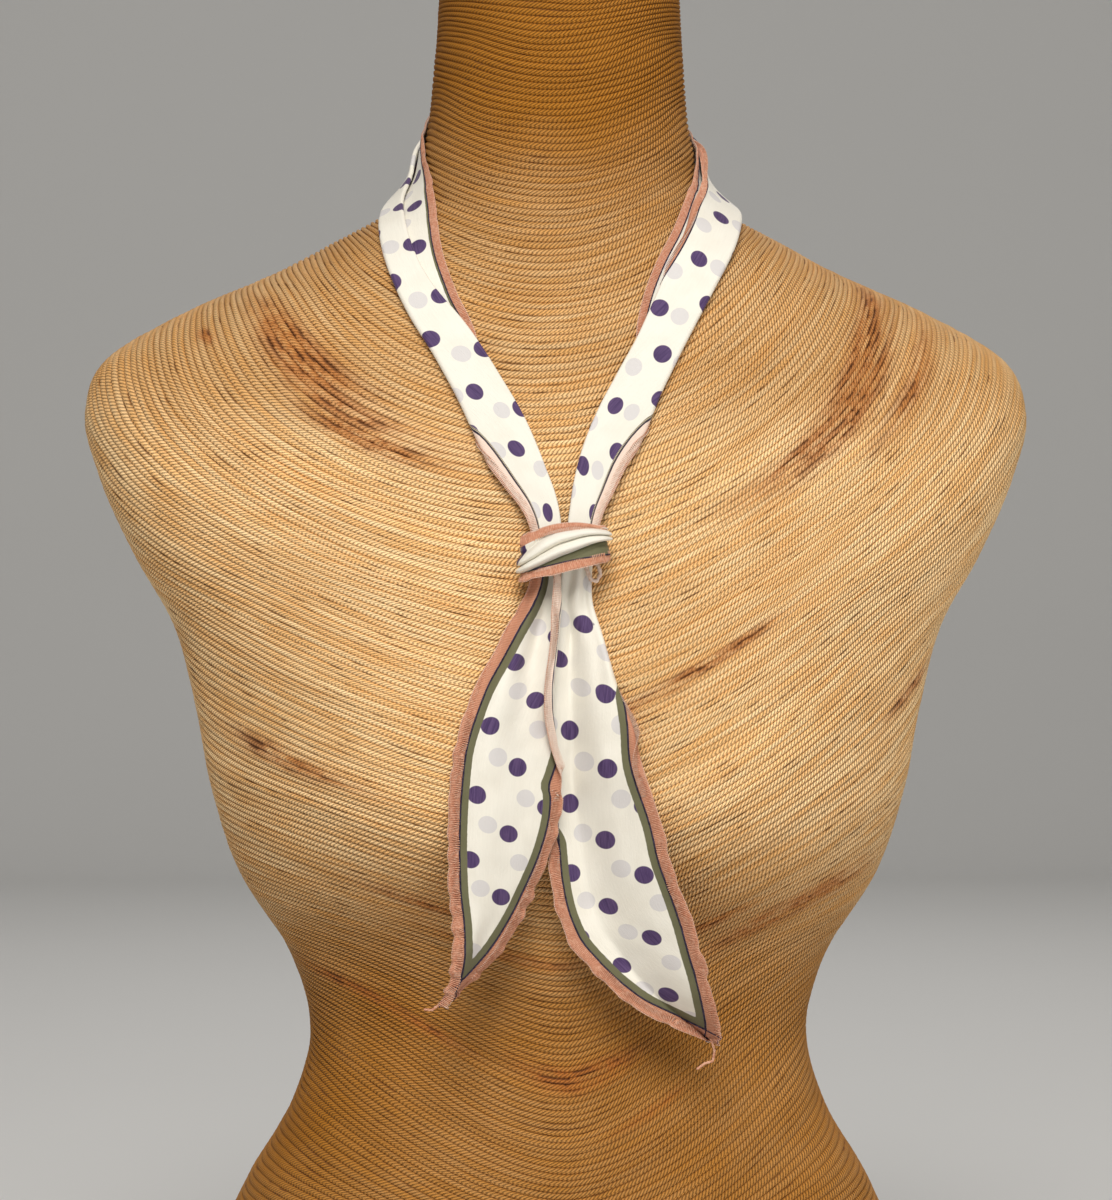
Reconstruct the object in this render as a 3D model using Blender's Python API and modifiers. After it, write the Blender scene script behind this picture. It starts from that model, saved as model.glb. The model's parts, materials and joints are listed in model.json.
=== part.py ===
"""Neck scarf, folded into a narrow band, worn round a limbless dress form and tied in a slip knot.

Metres, +Z up, +X to the viewer's right, the wearer's front towards -Y. The origin is the middle of
the dress form's flat underside. Each stretch of cloth is an open sheet, laid out from a few sections,
that a Solidify modifier turns into a wall.
"""

import math

import bmesh
import bpy
import numpy as np
from mathutils import Vector
from mathutils.bvhtree import BVHTree
from mathutils.interpolate import poly_3d_calc

# Dress form, sizes read from the outline. front and back are the y of the section's two faces, and
# squareness is the exponent of its superellipse, 2 for an ellipse.
FORM_COLUMNS = ("z", "half_width", "front", "back", "squareness")
FORM_SECTIONS = (
    (0.650, 0.0515, -0.064, 0.038, 2.00),
    (0.607, 0.0540, -0.062, 0.046, 2.00),
    (0.567, 0.0590, -0.060, 0.060, 2.05),
    (0.548, 0.0650, -0.060, 0.068, 2.10),
    (0.538, 0.0760, -0.062, 0.076, 2.15),
    (0.526, 0.0980, -0.066, 0.084, 2.20),
    (0.513, 0.1225, -0.070, 0.090, 2.25),
    (0.495, 0.1630, -0.076, 0.096, 2.30),
    (0.475, 0.1970, -0.082, 0.101, 2.35),
    (0.452, 0.2070, -0.088, 0.104, 2.40),
    (0.424, 0.2010, -0.095, 0.106, 2.40),
    (0.390, 0.1860, -0.101, 0.106, 2.35),
    (0.358, 0.1680, -0.103, 0.103, 2.30),
    (0.325, 0.1590, -0.102, 0.099, 2.25),
    (0.285, 0.1510, -0.098, 0.092, 2.20),
    (0.250, 0.1390, -0.093, 0.085, 2.20),
    (0.215, 0.1170, -0.086, 0.078, 2.20),
    (0.180, 0.1085, -0.080, 0.074, 2.20),
    (0.150, 0.1165, -0.083, 0.083, 2.20),
    (0.116, 0.1360, -0.090, 0.098, 2.20),
    (0.080, 0.1520, -0.096, 0.112, 2.25),
    (0.040, 0.1630, -0.100, 0.122, 2.30),
    (0.000, 0.1660, -0.101, 0.124, 2.30),
)
NECK_TOP = FORM_SECTIONS[0][0]
BUST_X, BUST_Z = 0.076, 0.290
BUST_FULLNESS = 0.036
BUST_REACH_X, BUST_REACH_UP, BUST_REACH_DOWN = 0.088, 0.125, 0.066
# The exponents with which the bust fades to its rim and towards the form's sides.
BUST_RIM, BUST_SIDES = 1.5, 0.7
# How finely an outline is read before points are spaced along it.
OUTLINE_STEPS = 400
# The spacing of the rings down to each height, closest where the scarf lies in the neck's hollow.
RING_STEPS = ((0.565, 0.020), (0.485, 0.0105), (0.360, 0.017), (0.0, 0.022))
RING_POINTS = 48
FINE_STEP, FINE_POINTS = 0.005, 144
EDGE_ROUND = 0.004

# The scarf's cut: a strip with a stitched edging along both sides.
SCARF_WIDTH = 0.052
EDGING_WIDTH = 0.0035
SEAM_GAP = 0.00035
CLOTH_WALL, EDGING_WALL = 0.0010, 0.0011
# The further gap of a seam that lies in a fold, where the two walls lean together.
FOLD_GAP, FOLD_REACH = 0.0018, 0.0045

# Heights of the three layers of the folded band above the dress form.
UNDER_LAYER, MIDDLE_LAYER, FACE_LAYER = 0.0015, 0.0030, 0.0045
OUTER_RADIUS = (FACE_LAYER - UNDER_LAYER) / 2
INNER_RADIUS = (FACE_LAYER - MIDDLE_LAYER) / 2
OUTER_ARC, INNER_ARC = math.pi * OUTER_RADIUS, math.pi * INNER_RADIUS

# The band from the nape to the knot, a row for each section. x, y and z lie near the dress form's
# skin. tuck is the cloth turned under at the band's outer side, less than zero where that side is
# open, window the width of the face, squeeze the gathering at the knot, and lift the height of the
# whole band above the skin.
BAND_COLUMNS = ("x", "y", "z", "tuck", "window", "squeeze", "lift")
LEFT_BAND = (
    (-0.0002, 0.0530, 0.590, 0.0240, 0.0140, 1.00, 0.0),
    (-0.0300, 0.0470, 0.584, 0.0240, 0.0140, 1.00, 0.0),
    (-0.0520, 0.0280, 0.572, 0.0245, 0.0135, 1.00, 0.0),
    (-0.0630, 0.0040, 0.556, 0.0250, 0.0130, 1.00, 0.0),
    (-0.0690, -0.0220, 0.540, 0.0250, 0.0130, 1.00, 0.0),
    (-0.0690, -0.0460, 0.525, 0.0240, 0.0140, 1.00, 0.0),
    (-0.0652, -0.0630, 0.508, 0.0220, 0.0150, 1.00, 0.0),
    (-0.0580, -0.0730, 0.492, 0.0205, 0.0158, 1.00, 0.0),
    (-0.0475, -0.0800, 0.475, 0.0180, 0.0165, 1.00, 0.0),
    (-0.0375, -0.0860, 0.457, 0.0110, 0.0200, 0.86, 0.0),
    (-0.0285, -0.0910, 0.439, 0.0010, 0.0246, 0.77, 0.0),
    (-0.0205, -0.0950, 0.421, -0.0047, 0.0250, 0.72, 0.0),
    (-0.0140, -0.0980, 0.409, -0.0047, 0.0250, 0.56, 0.0015),
    (-0.0110, -0.1005, 0.398, -0.0047, 0.0250, 0.46, 0.0048),
    (-0.0104, -0.1010, 0.390, -0.0047, 0.0250, 0.44, 0.0058),
)
RIGHT_BAND = (
    (0.0002, 0.0530, 0.590, 0.0240, 0.0140, 1.00, 0.0),
    (0.0300, 0.0470, 0.584, 0.0240, 0.0145, 1.00, 0.0),
    (0.0520, 0.0280, 0.572, 0.0245, 0.0170, 1.00, 0.0),
    (0.0620, 0.0040, 0.557, 0.0250, 0.0200, 1.00, 0.0),
    (0.0660, -0.0200, 0.543, 0.0253, 0.0215, 1.00, 0.0),
    (0.0630, -0.0420, 0.530, 0.0253, 0.0210, 1.00, 0.0),
    (0.0585, -0.0580, 0.517, 0.0253, 0.0200, 1.00, 0.0),
    (0.0515, -0.0690, 0.503, 0.0250, 0.0190, 1.00, 0.0),
    (0.0440, -0.0760, 0.488, 0.0225, 0.0176, 1.00, 0.0),
    (0.0365, -0.0810, 0.473, 0.0170, 0.0168, 1.00, 0.0),
    (0.0285, -0.0860, 0.458, 0.0090, 0.0206, 0.86, 0.0),
    (0.0214, -0.0900, 0.443, 0.0000, 0.0248, 0.78, 0.0),
    (0.0148, -0.0935, 0.428, -0.0047, 0.0252, 0.74, 0.0),
    (0.0094, -0.0965, 0.414, -0.0047, 0.0250, 0.62, 0.0010),
    (0.0065, -0.0990, 0.405, -0.0047, 0.0250, 0.50, 0.0028),
    (0.0050, -0.1005, 0.398, -0.0047, 0.0250, 0.46, 0.0048),
    (0.0044, -0.1010, 0.390, -0.0047, 0.0250, 0.44, 0.0058),
)
BAND_ROWS, BAND_POINTS, EDGING_POINTS = 28, 19, 3
FOLD_DENSITY = 4.0
ROW_CROWDING = 1.4
# A row of points this close to each seam keeps the two pieces' walls parallel there.
SEAM_ROW = 0.00025
SKIN_STEP = 0.0015

# The knot: the scarf wrapped once round both bands, a ring that is taller on the viewer's left.
KNOT_X, KNOT_Y, KNOT_Z = -0.0033, -0.1120, 0.3890
KNOT_LEAN = 0.17
KNOT_HALF_WIDTH, KNOT_HALF_DEPTH, KNOT_SQUARENESS = 0.0170, 0.0078, 2.5
KNOT_TOP, KNOT_TOP_TILT, KNOT_TOP_ARCH = 0.0113, 0.10, 12.0
KNOT_BOTTOM, KNOT_BOTTOM_TILT = -0.0080, 0.24
KNOT_POINTS, KNOT_ROWS = 30, 7
KNOT_FOLD_COLUMNS = ("share", "bulge")
KNOT_FOLDS = (
    (0.00, 0.0004),
    (0.12, 0.0006),
    (0.26, 0.0018),
    (0.40, 0.0006),
    (0.56, 0.0024),
    (0.70, 0.0010),
    (0.84, 0.0012),
    (1.00, 0.0020),
)
KNOT_FOLD_SLANT = 0.16
# The folds stand out fully at the front, and less at the sides and the back.
KNOT_SIDE_BULGE, KNOT_FRONT_BULGE = 0.65, 0.35
KNOT_EDGING_SHARE, KNOT_SEAM_SHARE, KNOT_SEAM_ROW = 0.15, 0.023, 0.012
KNOT_EDGING_ROWS = 3

# The two hanging ends. left and right are the x of the cloth's two sides as seen from the front.
TAIL_COLUMNS = ("z", "left", "right")
LEFT_TAIL = (
    (0.3850, -0.0168, -0.0062),
    (0.3770, -0.0172, -0.0056),
    (0.3690, -0.0202, -0.0054),
    (0.3580, -0.0264, -0.0062),
    (0.3470, -0.0325, -0.0074),
    (0.3360, -0.0387, -0.0088),
    (0.3230, -0.0440, -0.0090),
    (0.3090, -0.0482, -0.0070),
    (0.2960, -0.0498, -0.0054),
    (0.2830, -0.0507, -0.0050),
    (0.2660, -0.0510, -0.0087),
    (0.2490, -0.0504, -0.0157),
    (0.2350, -0.0490, -0.0227),
    (0.2225, -0.0490, -0.0309),
    (0.2126, -0.0510, -0.0400),
    (0.2030, -0.0548, -0.0510),
)
RIGHT_TAIL = (
    (0.3850, -0.0036, 0.0080),
    (0.3770, -0.0044, 0.0074),
    (0.3680, -0.0062, 0.0078),
    (0.3560, -0.0070, 0.0113),
    (0.3460, -0.0079, 0.0140),
    (0.3320, -0.0095, 0.0180),
    (0.3160, -0.0103, 0.0238),
    (0.3050, -0.0107, 0.0263),
    (0.2940, -0.0107, 0.0300),
    (0.2785, -0.0103, 0.0354),
    (0.2620, -0.0091, 0.0395),
    (0.2520, -0.0080, 0.0432),
    (0.2357, -0.0040, 0.0489),
    (0.2254, 0.0010, 0.0518),
    (0.2160, 0.0090, 0.0547),
    (0.2065, 0.0189, 0.0572),
    (0.1990, 0.0292, 0.0590),
    (0.1925, 0.0423, 0.0602),
    (0.1860, 0.0570, 0.0606),
)
TAIL_ROWS, TAIL_POINTS = 30, 12
# How a hanging end folds along its length: share is the place from the knot to the tip, pleat the
# depth of the folds that the knot gathers, stand_left and stand_right the gap to the dress form at
# each side, and turned the part of its right border that is turned over.
FOLD_COLUMNS = ("share", "pleat", "stand_left", "stand_right", "turned")
LEFT_FOLDS = (
    (0.00, 0.0022, 0.0010, 0.0060, 1.00),
    (0.12, 0.0034, 0.0010, 0.0072, 1.00),
    (0.24, 0.0034, 0.0010, 0.0074, 1.00),
    (0.33, 0.0024, 0.0010, 0.0070, 0.80),
    (0.42, 0.0016, 0.0010, 0.0066, 0.05),
    (0.62, 0.0010, 0.0012, 0.0056, 0.00),
    (0.80, 0.0006, 0.0020, 0.0038, 0.00),
    (1.00, 0.0000, 0.0030, 0.0030, 0.00),
)
RIGHT_FOLDS = (
    (0.00, 0.0012, 0.0012, 0.0056, 1.00),
    (0.12, 0.0018, 0.0012, 0.0068, 1.00),
    (0.22, 0.0018, 0.0012, 0.0068, 0.80),
    (0.31, 0.0016, 0.0012, 0.0060, 0.35),
    (0.40, 0.0012, 0.0012, 0.0046, 0.03),
    (0.62, 0.0008, 0.0014, 0.0034, 0.00),
    (0.80, 0.0006, 0.0022, 0.0030, 0.00),
    (1.00, 0.0000, 0.0030, 0.0030, 0.00),
)
ROLL_RADIUS, ROLL_FLAP, ROLL_TURN = 0.0011, 0.0066, math.radians(170)
ROLL_WIDTH = ROLL_FLAP + ROLL_TURN * ROLL_RADIUS
LEFT_PLEATS, LEFT_PLEAT_PHASE, LEFT_START_Y, LEFT_FORWARD = 1.25, 0.10, -0.1130, 1
RIGHT_PLEATS, RIGHT_PLEAT_PHASE, RIGHT_START_Y, RIGHT_FORWARD = 1.40, 0.55, -0.1098, -1
# How fast the cloth below the knot falls back towards the dress form.
FALL_BACK = 0.10
FRAME_POINTS, FRAME_SMOOTHINGS = 31, 2
PLEAT_RIM, MOST_TURNED, LEAST_SLANT = 0.7, 0.45, 0.5
# The rows crowd towards the tip, where the panel ends once it is narrower than the gap.
TIP_GAP, TIP_CROWDING, TIP_CURVE = 0.0009, 0.13, 6
WELD_REACH = 1e-6


def smooth(columns, rows, name, at):
    """One column of a table at a height or place, by a smooth curve through its rows."""
    table = np.array(rows, float)
    if table[0, 0] > table[-1, 0]:
        table = table[::-1]
    return curve_value(table[:, 0], table[:, columns.index(name)], at)


def curve_value(keys, values, at):
    """A smooth curve through values at rising keys, read at a place."""
    slopes = np.gradient(values, keys)
    i = int(np.clip(np.searchsorted(keys, at) - 1, 0, len(keys) - 2))
    gap = keys[i + 1] - keys[i]
    t = min(1.0, max(0.0, (at - keys[i]) / gap))
    return float(
        (2 * t**3 - 3 * t**2 + 1) * values[i]
        + (t**3 - 2 * t**2 + t) * gap * slopes[i]
        + (3 * t**2 - 2 * t**3) * values[i + 1]
        + (t**3 - t**2) * gap * slopes[i + 1]
    )


# Dress form


def form_value(name, z):
    return smooth(FORM_COLUMNS, FORM_SECTIONS, name, z)


def bust(x, z):
    """How far the bust stands out in front of the rib cage."""
    reach = BUST_REACH_UP if z > BUST_Z else BUST_REACH_DOWN
    away = ((abs(x) - BUST_X) / BUST_REACH_X) ** 2 + ((z - BUST_Z) / reach) ** 2
    return BUST_FULLNESS * max(0.0, 1 - away) ** BUST_RIM


def form_ring(z, points, inset=0.0):
    """One level section of the dress form, from +X round by the back."""
    width = form_value("half_width", z) - inset
    front, back = form_value("front", z) + inset, form_value("back", z) - inset
    power = 2 / form_value("squareness", z)
    middle, depth = (front + back) / 2, (back - front) / 2
    ring = []
    for k in range(points):
        turn = 2 * math.pi * k / points
        c, s = math.cos(turn), math.sin(turn)
        x = width * math.copysign(abs(c) ** power, c)
        y = middle + depth * math.copysign(abs(s) ** power, s)
        ring.append(Vector((x, y - max(0.0, -s) ** BUST_SIDES * bust(x, z), z)))
    return ring


def ring_heights(spacing):
    """Heights from the neck's top to the base, spaced along the side outline."""
    fine = np.linspace(NECK_TOP, 0.0, OUTLINE_STEPS)
    widths = np.array([form_value("half_width", z) for z in fine])
    steps = np.array([next(step for lowest, step in spacing if z >= lowest) for z in fine[1:]])
    count = np.concatenate([[0], np.cumsum(np.hypot(np.diff(fine), np.diff(widths)) / steps)])
    places = np.linspace(0, count[-1], round(count[-1]) + 1)
    return [float(z) for z in np.interp(places, count, fine)]


def form_mesh(spacing, points):
    """The dress form as one closed mesh, with a small round at the neck's cap and at the base."""
    bm = bmesh.new()
    heights = ring_heights(spacing)
    rings = [(heights[0], EDGE_ROUND)]
    rings += [(heights[0] - EDGE_ROUND, 0.0)]
    rings += [(z, 0.0) for z in heights[1:-1]]
    rings += [(EDGE_ROUND, 0.0), (0.0, EDGE_ROUND)]
    loops = []
    for z, inset in rings:
        circle = bmesh.ops.create_circle(bm, segments=points, radius=1.0)["verts"]
        for vertex, place in zip(circle, form_ring(z, points, inset)):
            vertex.co = place
        loops.append(circle)
    for pair in zip(loops, loops[1:]):
        edges = [bm.edges.get(ends) for ring in pair for ends in zip(ring, ring[1:] + ring[:1])]
        bmesh.ops.bridge_loops(bm, edges=edges)
    for ring in (loops[0], loops[-1]):
        bmesh.ops.contextual_create(bm, geom=ring)
    bmesh.ops.recalc_face_normals(bm, faces=bm.faces)
    return bm


class Skin:
    """The dress form's surface, for laying cloth on it."""

    def __init__(self, bm):
        bmesh.ops.triangulate(bm, faces=bm.faces)
        bm.verts.ensure_lookup_table()
        self.places = [v.co.copy() for v in bm.verts]
        self.normals = [v.normal.copy() for v in bm.verts]
        self.faces = [[v.index for v in f.verts] for f in bm.faces]
        self.tree = BVHTree.FromPolygons(self.places, self.faces)
        bm.free()

    def nearest(self, point):
        """The skin's nearest point, and its smooth outward normal there."""
        place, _, face, _ = self.tree.find_nearest(point)
        corners = self.faces[face]
        weights = poly_3d_calc([self.places[i] for i in corners], place)
        normal = sum((self.normals[i] * w for i, w in zip(corners, weights)), Vector())
        return place, normal.normalized()

    def front(self, x, z):
        """The y of the skin seen from the front at x and z."""
        place, _, _, _ = self.tree.ray_cast(Vector((x, -1.0, z)), Vector((0, 1, 0)))
        return place.y


# Folded band round the neck


def folded(u, tuck, window, squeeze):
    """Where a point of the strip lies in the folded band's section: across it, and above the skin.

    u runs from the outer edge of the cloth. It lies under the band, turns up round the outer fold,
    crosses the face, turns down round the inner fold and ends between the two.
    """
    half = window / 2
    if u < tuck:
        return (-half + tuck - u) * squeeze, UNDER_LAYER
    u -= tuck
    if u < OUTER_ARC:
        turn = u / OUTER_RADIUS - math.pi / 2
        middle = (UNDER_LAYER + FACE_LAYER) / 2
        return -half * squeeze - OUTER_RADIUS * math.cos(turn), middle + OUTER_RADIUS * math.sin(turn)
    u -= OUTER_ARC
    if u < window:
        return (u - half) * squeeze, FACE_LAYER
    u -= window
    if u < INNER_ARC:
        turn = math.pi / 2 - u / INNER_RADIUS
        middle = (MIDDLE_LAYER + FACE_LAYER) / 2
        return half * squeeze + INNER_RADIUS * math.cos(turn), middle + INNER_RADIUS * math.sin(turn)
    return (half - (u - INNER_ARC)) * squeeze, MIDDLE_LAYER


def spread_points(start, end, count, tuck, window):
    """Places across the strip, closer together round the two folds."""
    fine = np.linspace(start, end, OUTLINE_STEPS)
    inner = tuck + OUTER_ARC + window
    weight = np.ones(len(fine))
    weight[(fine > tuck) & (fine < tuck + OUTER_ARC)] = FOLD_DENSITY
    weight[(fine > inner) & (fine < inner + INNER_ARC)] = FOLD_DENSITY
    along = np.concatenate([[0], np.cumsum((weight[1:] + weight[:-1]) / 2)])
    return np.interp(np.linspace(0, along[-1], count), along, fine)


def band_stations(table, rows):
    """The band's sections, closer together towards the knot: each a dictionary of the columns."""
    data = np.array(table, float)
    along = np.concatenate([[0], np.cumsum(np.linalg.norm(np.diff(data[:, :3], axis=0), axis=1))])
    stations = []
    for place in along[-1] * (1 - np.linspace(1, 0, rows) ** ROW_CROWDING):
        values = [curve_value(along, data[:, k], place) for k in range(data.shape[1])]
        stations.append(dict(zip(BAND_COLUMNS, values)))
    return stations


def skin_line(skin, centre, across, reach):
    """Points of the skin every SKIN_STEP to both sides of a centre, with their normals."""
    count = math.ceil(reach / SKIN_STEP)
    halves = []
    for side in (-1, 1):
        place, normal = centre
        direction = across * side
        half = []
        for _ in range(count):
            direction = (direction - normal * direction.dot(normal)).normalized()
            place, normal = skin.nearest(place + direction * SKIN_STEP)
            half.append((place, normal))
        halves.append(half)
    return halves[0][::-1] + [centre] + halves[1], count


def band_frames(skin, table, outer_side):
    """For each section of the band, its folds and the skin beneath it, from outer to inner side."""
    stations = band_stations(table, BAND_ROWS)
    centres = [skin.nearest(Vector((s["x"], s["y"], s["z"]))) for s in stations]
    frames = []
    for k, (station, centre) in enumerate(zip(stations, centres)):
        before, after = centres[max(0, k - 1)][0], centres[min(len(centres) - 1, k + 1)][0]
        inner_side = centre[1].cross((after - before).normalized()) * outer_side
        if station is stations[0]:
            inner_side = Vector((0, 0, 1))
        frames.append((station, *skin_line(skin, centre, inner_side, SCARF_WIDTH * 0.5)))
    return frames


def band_point(frame, u):
    """A point of the strip, folded and laid on the skin."""
    station, line, middle = frame
    across, height = folded(u, station["tuck"], station["window"], station["squeeze"])
    place = across / SKIN_STEP + middle
    i = min(len(line) - 2, max(0, math.floor(place)))
    share = place - i
    point = line[i][0].lerp(line[i + 1][0], share)
    normal = line[i][1].lerp(line[i + 1][1], share).normalized()
    return point + normal * (height + station["lift"])


def seam_gap(seam, fold_start, fold_arc):
    """The gap of a seam, wider where it lies in a fold."""
    away = abs(seam - fold_start - fold_arc / 2) / (fold_arc / 2 + FOLD_REACH)
    return SEAM_GAP + FOLD_GAP * max(0.0, 1 - away**2)


def band_sheet(frames, piece, points):
    """Rows of points of the panel, or of the edging at one of its sides."""
    rows = []
    for frame in frames:
        tuck, window = frame[0]["tuck"], frame[0]["window"]
        start, end = EDGING_WIDTH, SCARF_WIDTH - EDGING_WIDTH
        if piece == "panel":
            start, end = (
                start + seam_gap(start, tuck, OUTER_ARC),
                end - seam_gap(end, tuck + OUTER_ARC + window, INNER_ARC),
            )
        else:
            start, end = (0.0, start) if piece == "under" else (end, SCARF_WIDTH)
        places = spread_points(start, end, points, tuck, window)
        places = with_seam_rows(places, start > 0, end < SCARF_WIDTH)
        rows.append([band_point(frame, u) for u in places])
    return rows


def with_seam_rows(places, at_start, at_end, step=SEAM_ROW):
    """Adds a place beside the first and the last one, where those lie along a seam."""
    if at_start:
        places = np.insert(places, 1, places[0] + step)
    if at_end:
        places = np.insert(places, -1, places[-1] - step)
    return places


# Knot


def knot_point(turn, share):
    """A point of the wrap: turn goes round it from the viewer's right, share from top to bottom."""
    c, s = math.cos(turn), math.sin(turn)
    power = 2 / KNOT_SQUARENESS
    fold = share + KNOT_FOLD_SLANT * c * math.sin(math.pi * share)
    bulge = smooth(KNOT_FOLD_COLUMNS, KNOT_FOLDS, "bulge", fold)
    bulge *= KNOT_SIDE_BULGE - KNOT_FRONT_BULGE * s
    x = (KNOT_HALF_WIDTH + bulge) * math.copysign(abs(c) ** power, c)
    y = (KNOT_HALF_DEPTH + bulge) * math.copysign(abs(s) ** power, s)
    top = KNOT_TOP + KNOT_TOP_TILT * x - KNOT_TOP_ARCH * x**2
    bottom = KNOT_BOTTOM + KNOT_BOTTOM_TILT * x
    z = top + (bottom - top) * share
    return Vector((KNOT_X + x, KNOT_Y + y + KNOT_LEAN * z, KNOT_Z + z))


def knot_sheet(start, end, rows):
    """Rows of points of a part of the wrap, from a share of its height to another."""
    turns = [2 * math.pi * k / KNOT_POINTS for k in range(KNOT_POINTS)]
    shares = with_seam_rows(np.linspace(start, end, rows), start > 0, end < 1, KNOT_SEAM_ROW)
    return [[knot_point(turn, share) for turn in turns] for share in shares]


# Hanging ends


def tail_outline(table):
    """The two sides of a hanging end as (x, z), in rows that are closer together at the tip."""
    sides = []
    for name in ("left", "right"):
        z = np.linspace(table[0][0], table[-1][0], OUTLINE_STEPS)
        x = np.array([smooth(TAIL_COLUMNS, table, name, at) for at in z])
        along = np.concatenate([[0], np.cumsum(np.hypot(np.diff(x), np.diff(z)))])
        t = np.linspace(0, 1, TAIL_ROWS)
        places = along[-1] * (t - TIP_CROWDING * t**TIP_CURVE) / (1 - TIP_CROWDING)
        sides.append(np.stack([np.interp(places, along, x), np.interp(places, along, z)], axis=1))
    return sides


def rolled(place):
    """How far a point of the turned border lies across from where it leaves the panel, and above."""
    angle = min(ROLL_TURN, place / ROLL_RADIUS)
    rest = place - ROLL_RADIUS * angle
    across = ROLL_RADIUS * math.sin(angle) + rest * math.cos(angle)
    return across, ROLL_RADIUS * (1 - math.cos(angle)) + rest * math.sin(angle)


def tail_frames(skin, table, folds, pleats, phase, start_y, forward):
    """For each row of a hanging end: its two sides, the y of the cloth between them, its border."""
    left, right = tail_outline(table)
    shares = np.linspace(0, 1, FRAME_POINTS)
    frames = []
    for row in range(TAIL_ROWS):
        place = row / (TAIL_ROWS - 1)
        fold = {name: smooth(FOLD_COLUMNS, folds, name, place) for name in FOLD_COLUMNS[1:]}
        across = right[row] - left[row]
        width = np.linalg.norm(across)
        border = min(ROLL_WIDTH * max(0.0, fold["turned"]), width * MOST_TURNED)
        base = across * (1 - rolled(min(border, ROLL_RADIUS * math.pi / 2))[0] / width)
        x, z = (left[row] + base * shares[:, None]).T
        pleat = fold["pleat"] * np.sin(math.pi * shares) ** PLEAT_RIM
        if frames:
            stand = fold["stand_left"] + (fold["stand_right"] - fold["stand_left"]) * shares**2
            rest = [skin.front(*place) for place in zip(x, z)] - stand - pleat
            flat = np.minimum(rest, frames[-1]["flat"] + FALL_BACK * (frames[-1]["z"] - z))
        else:
            flat = np.full(len(shares), start_y)
        y = flat + pleat * np.cos(2 * math.pi * (pleats * shares + phase))
        frames.append({"left": left[row], "base": base, "flat": flat, "z": z, "y": y})
        frames[-1].update(shares=shares, border=border, forward=forward)
    for _ in range(FRAME_SMOOTHINGS):
        rows = [frame["y"] for frame in frames]
        for k in range(1, TAIL_ROWS - 1):
            frames[k]["y"] = (rows[k - 1] + 2 * rows[k] + rows[k + 1]) / 4
    return frames


def tail_point(frame, place):
    """A point of a row: place runs over the panel's width, then over the turned border."""
    shares, y = frame["shares"], frame["y"]
    width = np.linalg.norm(frame["base"])
    if place <= width:
        x, z = frame["left"] + frame["base"] * place / width
        return Vector((x, np.interp(place / width, shares, y), z))
    x, z = frame["left"] + frame["base"]
    dx, dz = frame["base"] * (shares[-1] - shares[-2])
    tangent = Vector((dx, y[-1] - y[-2], dz)).normalized()
    front = Vector((0, -1, 0))
    front = (front - tangent * front.dot(tangent)).normalized()
    across, above = rolled(place - width)
    return Vector((x, y[-1], z)) + tangent * across + front * above * frame["forward"]


def tail_pieces(frames):
    """Rows of points of the panel and of the two edgings."""
    panel, first, last = [], [], []
    for k, frame in enumerate(frames):
        ahead, behind = frames[min(k + 1, TAIL_ROWS - 1)], frames[max(k - 1, 0)]
        total = float(np.linalg.norm(frame["base"])) + frame["border"]
        sides = []
        for side in ("start", "end"):
            run = edge_place(ahead, side) - edge_place(behind, side)
            run /= np.linalg.norm(run)
            across = frame["base"] / np.linalg.norm(frame["base"])
            slant = max(LEAST_SLANT, abs(run[0] * across[1] - run[1] * across[0]))
            edging = min(EDGING_WIDTH / slant, total / 2 - SEAM_GAP / 2)
            fold_start = 0.0 if side == "start" else total - frame["border"]
            seam = edging if side == "start" else total - edging
            fold_arc = min(frame["border"], ROLL_TURN * ROLL_RADIUS) if side == "end" else 0.0
            gap = seam_gap(seam, fold_start, fold_arc) if fold_arc > SEAM_GAP else SEAM_GAP
            sides += [edging, gap / slant]
        start, start_gap, end, end_gap = sides
        near = np.linspace(0, start, EDGING_POINTS)
        far = np.linspace(total - end, total, EDGING_POINTS)
        inner = np.linspace(start + start_gap, total - end - end_gap, TAIL_POINTS)
        first.append([tail_point(frame, p) for p in with_seam_rows(near, False, True)])
        last.append([tail_point(frame, p) for p in with_seam_rows(far, True, False)])
        if inner[-1] - inner[0] > TIP_GAP:
            panel.append([tail_point(frame, p) for p in with_seam_rows(inner, True, True)])
    return panel, first, last


def edge_place(frame, side):
    """Where the panel's first or last side lies on a row, as x and z."""
    return frame["left"] if side == "start" else frame["left"] + frame["base"]


def material(name, colour, roughness):
    made = bpy.data.materials.new(name)
    made.use_nodes = True
    shader = made.node_tree.nodes["Principled BSDF"]
    shader.inputs["Base Color"].default_value = (*colour, 1.0)
    shader.inputs["Roughness"].default_value = roughness
    return made


def add_object(name, bm, finish, collection):
    mesh = bpy.data.meshes.new(name)
    bm.to_mesh(mesh)
    bm.free()
    mesh.shade_smooth()
    mesh.materials.append(finish)
    made = bpy.data.objects.new(name, mesh)
    collection.objects.link(made)
    return made


def add_cloth(name, rows, wall, finish, collection, closed=False):
    """A sheet through rows of points, given its wall by Solidify."""
    bm = bmesh.new()
    across = len(rows[0]) - (0 if closed else 1)
    bmesh.ops.create_grid(bm, x_segments=across, y_segments=len(rows) - 1, size=1.0)
    for vertex in bm.verts:
        column = round((vertex.co.x + 1) / 2 * across)
        row = round((vertex.co.y + 1) / 2 * (len(rows) - 1))
        vertex.co = rows[row][column % len(rows[0])]
    if closed:
        bmesh.ops.remove_doubles(bm, verts=bm.verts, dist=WELD_REACH)
    made = add_object(name, bm, finish, collection)
    solid = made.modifiers.new("wall", "SOLIDIFY")
    solid.thickness = wall
    solid.offset = 0.0
    return made


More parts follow.
